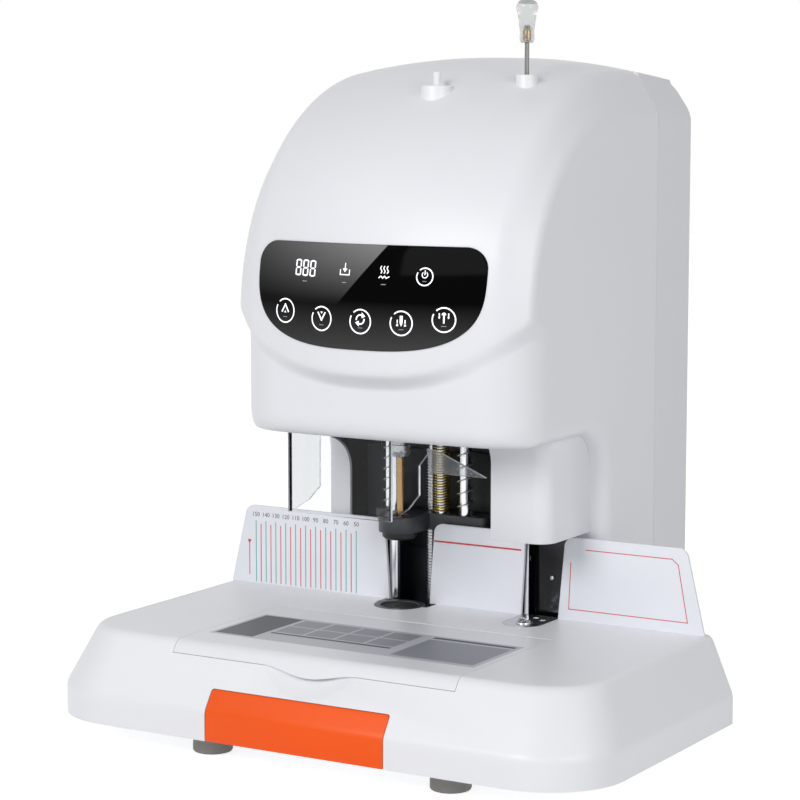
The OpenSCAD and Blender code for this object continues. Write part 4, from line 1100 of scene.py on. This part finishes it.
# turned pieces: name, place, profile of (r, z), material, body, steps round, CAD node, slot
TURNED = [
    ("screw_core", SCREW, [
        (0, 58.1), (5.6, 58.1), (6, 58.5), (6, 61.6), (5.6, 62), (3.7, 63), (3.7, 285.2), (3.4, 286), (0, 286)],
     "steel", "screw", 48, "lead_screw", "bright_steel"),
    ("guide_column_left", COL_L, post(4.5, 30, 364), "chrome", "frame", 64, "left_column", "chrome_rod"),
    ("guide_column_right", COL_R, post(4.5, 30, 364), "chrome", "frame", 64, "right_column", "chrome_rod"),
    ("guide_rod_left", ROD_L, guide_rod(2.5), "chrome", "presser", 64, "left_rod", "chrome_rod"),
    ("guide_rod_middle", ROD_M, guide_rod(4.5), "chrome", "presser", 64, "middle_rod", "chrome_rod"),
    ("hollow_drill", DRILL, [
        (2.45, 147), (2.62, 147.2), (3.0, 150), (3.0, 220), (2.0, 220), (2.0, 150), (2.3, 147.6)],
     "bronze", "spindle", 64, "drill_bit", "bronze"),
    ("drill_chuck", DRILL, [
        (3, 212), (5.4, 212), (6, 212.5), (6.2, 213), (8.2, 216), (8.5, 216.6), (8.5, 222), (8.0, 222.6),
        (8.0, 223.6), (8.5, 224.2), (8.5, 229.6), (8.0, 230.2), (8.0, 231.2), (8.5, 231.8), (8.5, 243.4),
        (6, 247), (6, 287.5), (4, 287.9), (4, 302), (2, 302), (2, 220), (3, 220)],
     "steel", "spindle", 64, "drill_spindle", "bright_steel"),
    ("spindle_case", DRILL, [
        (9, 250), (11.4, 250), (12.2, 250.6), (13.8, 252.6), (14, 253.4), (14, 284), (18, 284), (18, 288),
        (10, 288), (10, 253), (9, 253)],
     "cast", "carriage", 72, "spindle_housing", "cast_metal"),
    ("motor_case", DRILL, [
        (4.05, 288), (18, 288), (21, 291), (22, 291.4), (22, 296), (21.4, 296.5), (21.4, 340), (22, 340.5),
        (22, 346), (21.4, 347.4), (19, 350), (0, 350), (0, 304), (4.05, 304)],
     "motor", "carriage", 72, "drill_motor", "motor_metal"),
    ("press_foot", DRILL, [
        (5, 145.3), (5.3, 145), (11.6, 145), (12.2, 145.2), (13.8, 146.8), (14, 147.4), (14, 151), (5, 151)],
     "blackp", "presser", 72, "presser_foot", "black_plastic"),
    ("table_cup", DRILL, [
        (0, 64), (20.8, 64), (20.8, 83), (24, 83), (24, 87), (20.8, 87), (20.8, 89.5), (20.4, 89.9), (20.1, 90),
        (16.3, 90), (15.9, 89.9), (15.6, 89.5), (15.6, 84), (13, 84), (13, 67), (0, 67)],
     "dark", "frame", 96, "pad_cup", "dark_metal"),
    ("table_pad", DRILL, [
        (0, 84), (15.6, 84), (15.6, 88.4), (15.2, 88.8), (13, 88.8), (12.7, 88.5), (12.3, 88.5), (12, 88.8),
        (3.2, 88.8), (2.8, 88.3), (0, 88.3)],
     "pad", "frame", 96, "cutting_pad", "pad_rubber"),
    *[("foot_%d" % i, at, FOOT, "rubber", "frame", 72, "rubber_feet", "foot_rubber")
      for i, at in enumerate(((-106, -152), (106, -152), (-106, 160), (106, 160)), 1)],
    ("boss_tube", TUBE_AT, [
        (2.95, 492), (12, 492), (12, 509.6), (11.7, 510.2), (11.1, 510.5), (4.2, 510.5), (3.6, 510.2), (2.95, 509.4)],
     "nylon", "frame", 72, "tube_boss", "body_plastic"),
    ("rivet_tube", TUBE_AT, [(1.9, 440), (2.9, 440), (2.9, 520.4), (2.6, 520.8), (2.1, 520.8), (1.9, 520.5)],
     "nylon", "frame", 48, "nylon_tube", "white_nylon"),
    ("boss_pin", PIN_AT, [
        (1.8, 500), (8.3, 500), (8.3, 517.9), (8.0, 518.5), (7.5, 518.7), (2.6, 518.7), (1.8, 518.2)],
     "nylon", "frame", 64, "pin_boss", "body_plastic"),
    ("pin_rod", PIN_AT, [
        (0, 440), (1, 441), (1.75, 443), (1.75, 545), (2.9, 545.2), (3.1, 545.6), (3.1, 548), (2.5, 548.4),
        (2.5, 549.4), (3.1, 549.8), (3.1, 552.2), (2.8, 552.6), (2.2, 553.4), (2.2, 556), (0, 556)],
     "pin", "pin", 48, "clearing_pin", "bright_steel"),
    ("pin_insert", PIN_AT, [(1.75, 545.0), (3.15, 545.1), (3.18, 552.4), (2.3, 553.4), (1.9, 553.0)],
     "brass", "pin", 40, None, "bronze"),
    ("pin_grip", PIN_AT, [
        (3.25, 543.2), (4.6, 543.0), (5.2, 543.4), (5.7, 545.4), (5.7, 548.6), (5.35, 550.4), (5.7, 553),
        (6.5, 559.5), (7.6, 565.4), (8.5, 568.6), (8.55, 570.6), (7.9, 572.6), (6.6, 574.4), (4.4, 575.6),
        (2.2, 575.95), (0, 576), (0, 556.6), (2.3, 556.6), (3.25, 553.4)],
     "handle", "pin", 56, "pin_handle", "clear_plastic"),
    ("ram_rod", RIVET, [(0, 200), (6, 200), (6, 389.4), (5.4, 390), (0, 390)],
     "chrome", "ram", 64, "rivet_ram", "chrome_rod"),
    ("heater_block", RIVET, HEATER + [(6, 200), (0, 200)], "steel", "ram", 64, "rivet_heater", "bright_steel"),
    ("punch_tip", RIVET, [
        (1.2, 166), (3.6, 166), (4, 166.4), (5, 168), (5, 174), (6, 176), (6, 178), (0, 178), (0, 168)],
     "bronze", "ram", 56, "rivet_punch", "bronze"),
    ("anvil_die", RIVET, [
        (0, 82), (9, 82), (9, 87.5), (6, 87.5), (6, 90.4), (5.7, 91.0), (5.2, 91.4), (4.6, 91.3), (2.6, 90.7),
        (1.6, 91.4), (0, 91.5)],
     "steel", "frame", 64, "lower_anvil", "bright_steel"),
]
for name, at, profile, mat, body, segs, node, slot in TURNED:
    o = make(name, *lathe(profile, segs, at), mat)
    tidy(o)
    soften(o, 32)
    place(o, body, [node] if node else ())

# anvil plate with its screws and upright strip
SCREWS = [(RIVET[0] + x, RIVET[1] + y) for x, y in ((-9, 15), (9, 15), (0, 21))]
ANVIL_R, ANVIL_BACK, ANVIL_Z = 16.2, 46, 87.5
outline = arc(*RIVET, ANVIL_R, 180, 360, 40) + [(RIVET[0] + side * ANVIL_R, ANVIL_BACK) for side in (1, -1)]
plate = prism(outline, ANVIL_Z, TABLE_Z)
cut(plate, cyl(*RIVET, 80, 95, 6), *[cyl(*at, 80, 95, 2.6, 32) for at in SCREWS])
join(plate, box((RIVET[0] - 16.1, ANVIL_BACK - 1.5, TABLE_Z - 1), (RIVET[0] - 12.1, ANVIL_BACK, 161)))
finish_piece(plate, "anvil_base", "steel", "anvil_plate", edge=0.4)


def screw_head(name, centre, normal, r, h):
    """Domed screw head with a cross recess, seated on a face."""
    dome = ((0, 0), (1, 0), (1, 0.35), (0.93, 0.62), (0.75, 0.85), (0.45, 0.97), (0, 1))
    o = solid(lathe([(r * u, h * v) for u, v in dome], 32))
    w, reach, z0, z1 = r * 0.16, r * 0.6, h * 0.45, h * 1.2
    cut(o, box((-reach, -w, z0), (reach, w, z1)), box((-w, -reach, z0), (w, reach, z1)))
    o.name = o.data.name = name
    turn = Vector((0, 0, 1)).rotation_difference(Vector(normal))
    for v in o.data.vertices:
        v.co = turn @ v.co + Vector(centre) * MM
    soften(o, 30)
    repaint(o, "steel")
    place(o)


UP, TO_FRONT, TO_BACK = (0, 0, 1), (0, -1, 0), (0, 1, 0)
for i, at in enumerate(SCREWS, 1):
    screw_head("plate_screw_%d" % i, (*at, 87.9), UP, 2.45, 1.6)
screw_head("post_screw", (82.0, 52.0, 120.0), TO_FRONT, 1.9, 1.1)
screw_head("panel_screw", (50.0, 73.0, 178.0), TO_FRONT, 2.6, 1.6)
for i, x in enumerate((-90, 50), 1):
    screw_head("panel_fix_%d" % i, (x, 73.0, 130), TO_FRONT, 2.6, 1.5)


# ---- clear guard: its cut edges bright with a painted glow, its lower edges grey with painted shade
def acrylic(o, name, node, thick, sheet):
    """Broad faces are clear, the narrow cut edges take the pale edge material with its painted glow, or below a grey
    material that paints shade.
    """
    o.name = o.data.name = name
    tidy(o)
    repaint(o, sheet, "edge", "cut")
    co = [v.co for v in o.data.vertices]
    for p in o.data.polygons:
        longest = max((co[a] - co[b]).length for a in p.vertices for b in p.vertices)
        # downward cut faces take the grey material as painted shade, the others the pale edge with its painted glow
        if p.area / longest < thick * 1.3 * MM:
            p.material_index = 2 if p.normal.z < -0.95 else 1
    place(o, "frame", [node])


GX0, GX1, GY, GT, GZ = -94.0, 1.0, -63.0, 2.5, 175
guard = box((GX0, GY, GZ), (GX1, GY + GT, HEAD_Z))
for x, upper in ((GX0, [(-18, HEAD_Z)]), (GX1 - GT, [(-18, 213.5), (0, 224), (0, HEAD_Z)])):
    join(guard, prism([(GY, GZ), (-35, 181), (-18, 190)] + upper + [(GY, HEAD_Z)], x, x + GT, "yz"))
acrylic(guard, "guard_clear", "clear_guard", GT, "clear")
low = [(GX1, 0, 206), (52, -2, 206), (13, -6.15, 223.5), (GX1, -6.5, 226)]
deflector = solid(skin([low, [(x, y - 1.9, z - 0.6) for x, y, z in low]]))
acrylic(deflector, "deflector_clear", "chip_deflector", 2.2, "haze")

# ---- carried-over CAD nodes
for node, mat, width in (
        ("base_plate", "plate", 0.3), ("lid_hinge_pin", "steel", None), ("anvil_arm", "black", 0.35),
        ("rivet_post", "black", 0.5), ("rivet_arm", "black", 0.35), ("column_base", "dark", 0.35),
        ("inner_panel", "panel", 0.3), ("back_frame", "plate", 0.3), ("upper_bridge", "dark", 0.5),
        ("feed_motor", "motor", 0.4), ("crosshead", "cast", 0.5), ("column_bushes", "bronze", 0.2),
        ("feed_nut", "bronze", 0.3), ("spindle_bearings", "steel", 0.2), ("power_supply", "plate", 0.4),
        ("main_board", "board", None), ("display_board", "board", None), ("press_bar", "dark", 0.6),
        ("rivet_actuator", "motor", 0.5), ("inlet_socket", "blackp", 0.3), ("rocker_switch", "blackp", 0.4)):
    dress(node, mat, width)


def on_rocker(x, z):
    """The rocker's two faces, which slope by 3 mm above and 1 mm below over 5 mm."""
    rise = z - SWITCH[1]
    return (SWITCH[0] - x, BACK_Y - 1 + (3.0 * rise / 5.0 if rise > 0 else -1.0 * rise / 5.0) + 0.06, z)


# on and off marks on the rocker, printed white with a painted glow
for name, mark, dz in (("off", open_ring(0, 0, 1.3, 0.45, 0, 360, 24), -2.6),
                       ("on", [bar(-0.25, 0.25, -1.4, 1.4)], 2.6)):
    printed("rocker_" + name, mark, "white_mark", lambda x, z: on_rocker(x, SWITCH[1] + dz + z), "rocker")
for i, x in enumerate((-20, 20), 1):
    screw_head("inlet_screw_%d" % i, (INLET[0] + x, BACK_Y + 0.9, INLET[1]), TO_BACK, 1.7, 0.9)
for i, (x, z) in enumerate(((-118, 72), (118, 72), (-118, 480), (118, 480), (0, 300)), 1):
    screw_head("case_screw_%d" % i, (x, BACK_Y - 0.2, z), TO_BACK, 3.0, 1.5)


# ---- floor, world, lamps
def seen_ray(tree):
    """1 for camera, glossy and transmission rays, 0 for the light that reaches the object."""
    path = add(tree, "ShaderNodeLightPath")
    either = calc(tree, "MAXIMUM", path["Is Camera Ray"], path["Is Glossy Ray"])
    return calc(tree, "MAXIMUM", either, path["Is Transmission Ray"])


FLOOR_HW, FLOOR_LIFT, WORLD_LIGHT = 6.0, 0.75, 0.30
ground = bpy.data.meshes.new("floor")
ground.from_pydata([(*p, 0) for p in bar(-FLOOR_HW, FLOOR_HW, -FLOOR_HW, FLOOR_HW)], [], [(0, 1, 2, 3)])
floor = bpy.data.objects.new("floor", ground)
scene.collection.objects.link(floor)
m, tree, b = new_mat("floor")
ground.materials.append(m)
# the floor seen far off is white, and its shadow stays
put(tree, b, {"Base Color": two_tone(tree, noise(tree, 3.0, 2.0), (0.86, 0.86, 0.865), (0.88, 0.88, 0.88)),
              "Roughness": 0.9, "Specular IOR Level": 0.1, "Emission Color": (1, 1, 1, 1),
              "Emission Strength": calc(tree, "MULTIPLY", seen_ray(tree), FLOOR_LIFT)})

world = bpy.data.worlds.new("world")
scene.world = world
world.use_nodes = True
tree = world.node_tree
put(tree, tree.nodes["Background"], {"Color": (1, 1, 1, 1),
                                     "Strength": ranged(tree, seen_ray(tree), WORLD_LIGHT, 1.0, 0.0, 1.0)})

for name, at, target, size, power in (
        ("front", (-0.3, -2.4, 1.4), (0, 0, 0.22), (1.2, 0.9), 26),
        ("right", (2.2, -1.0, 1.0), (0, 0, 0.3), (1.2, 1.2), 15),
        ("left", (-1.3, -1.6, 2.0), (0, 0, 0.2), (1.2, 1.2), 5.4)):
    lamp = bpy.data.lights.new(name, "AREA")
    lamp.shape = "RECTANGLE"
    lamp.size, lamp.size_y = size
    lamp.energy = power
    aim(bpy.data.objects.new(name, lamp), at, Vector(target) - Vector(at))
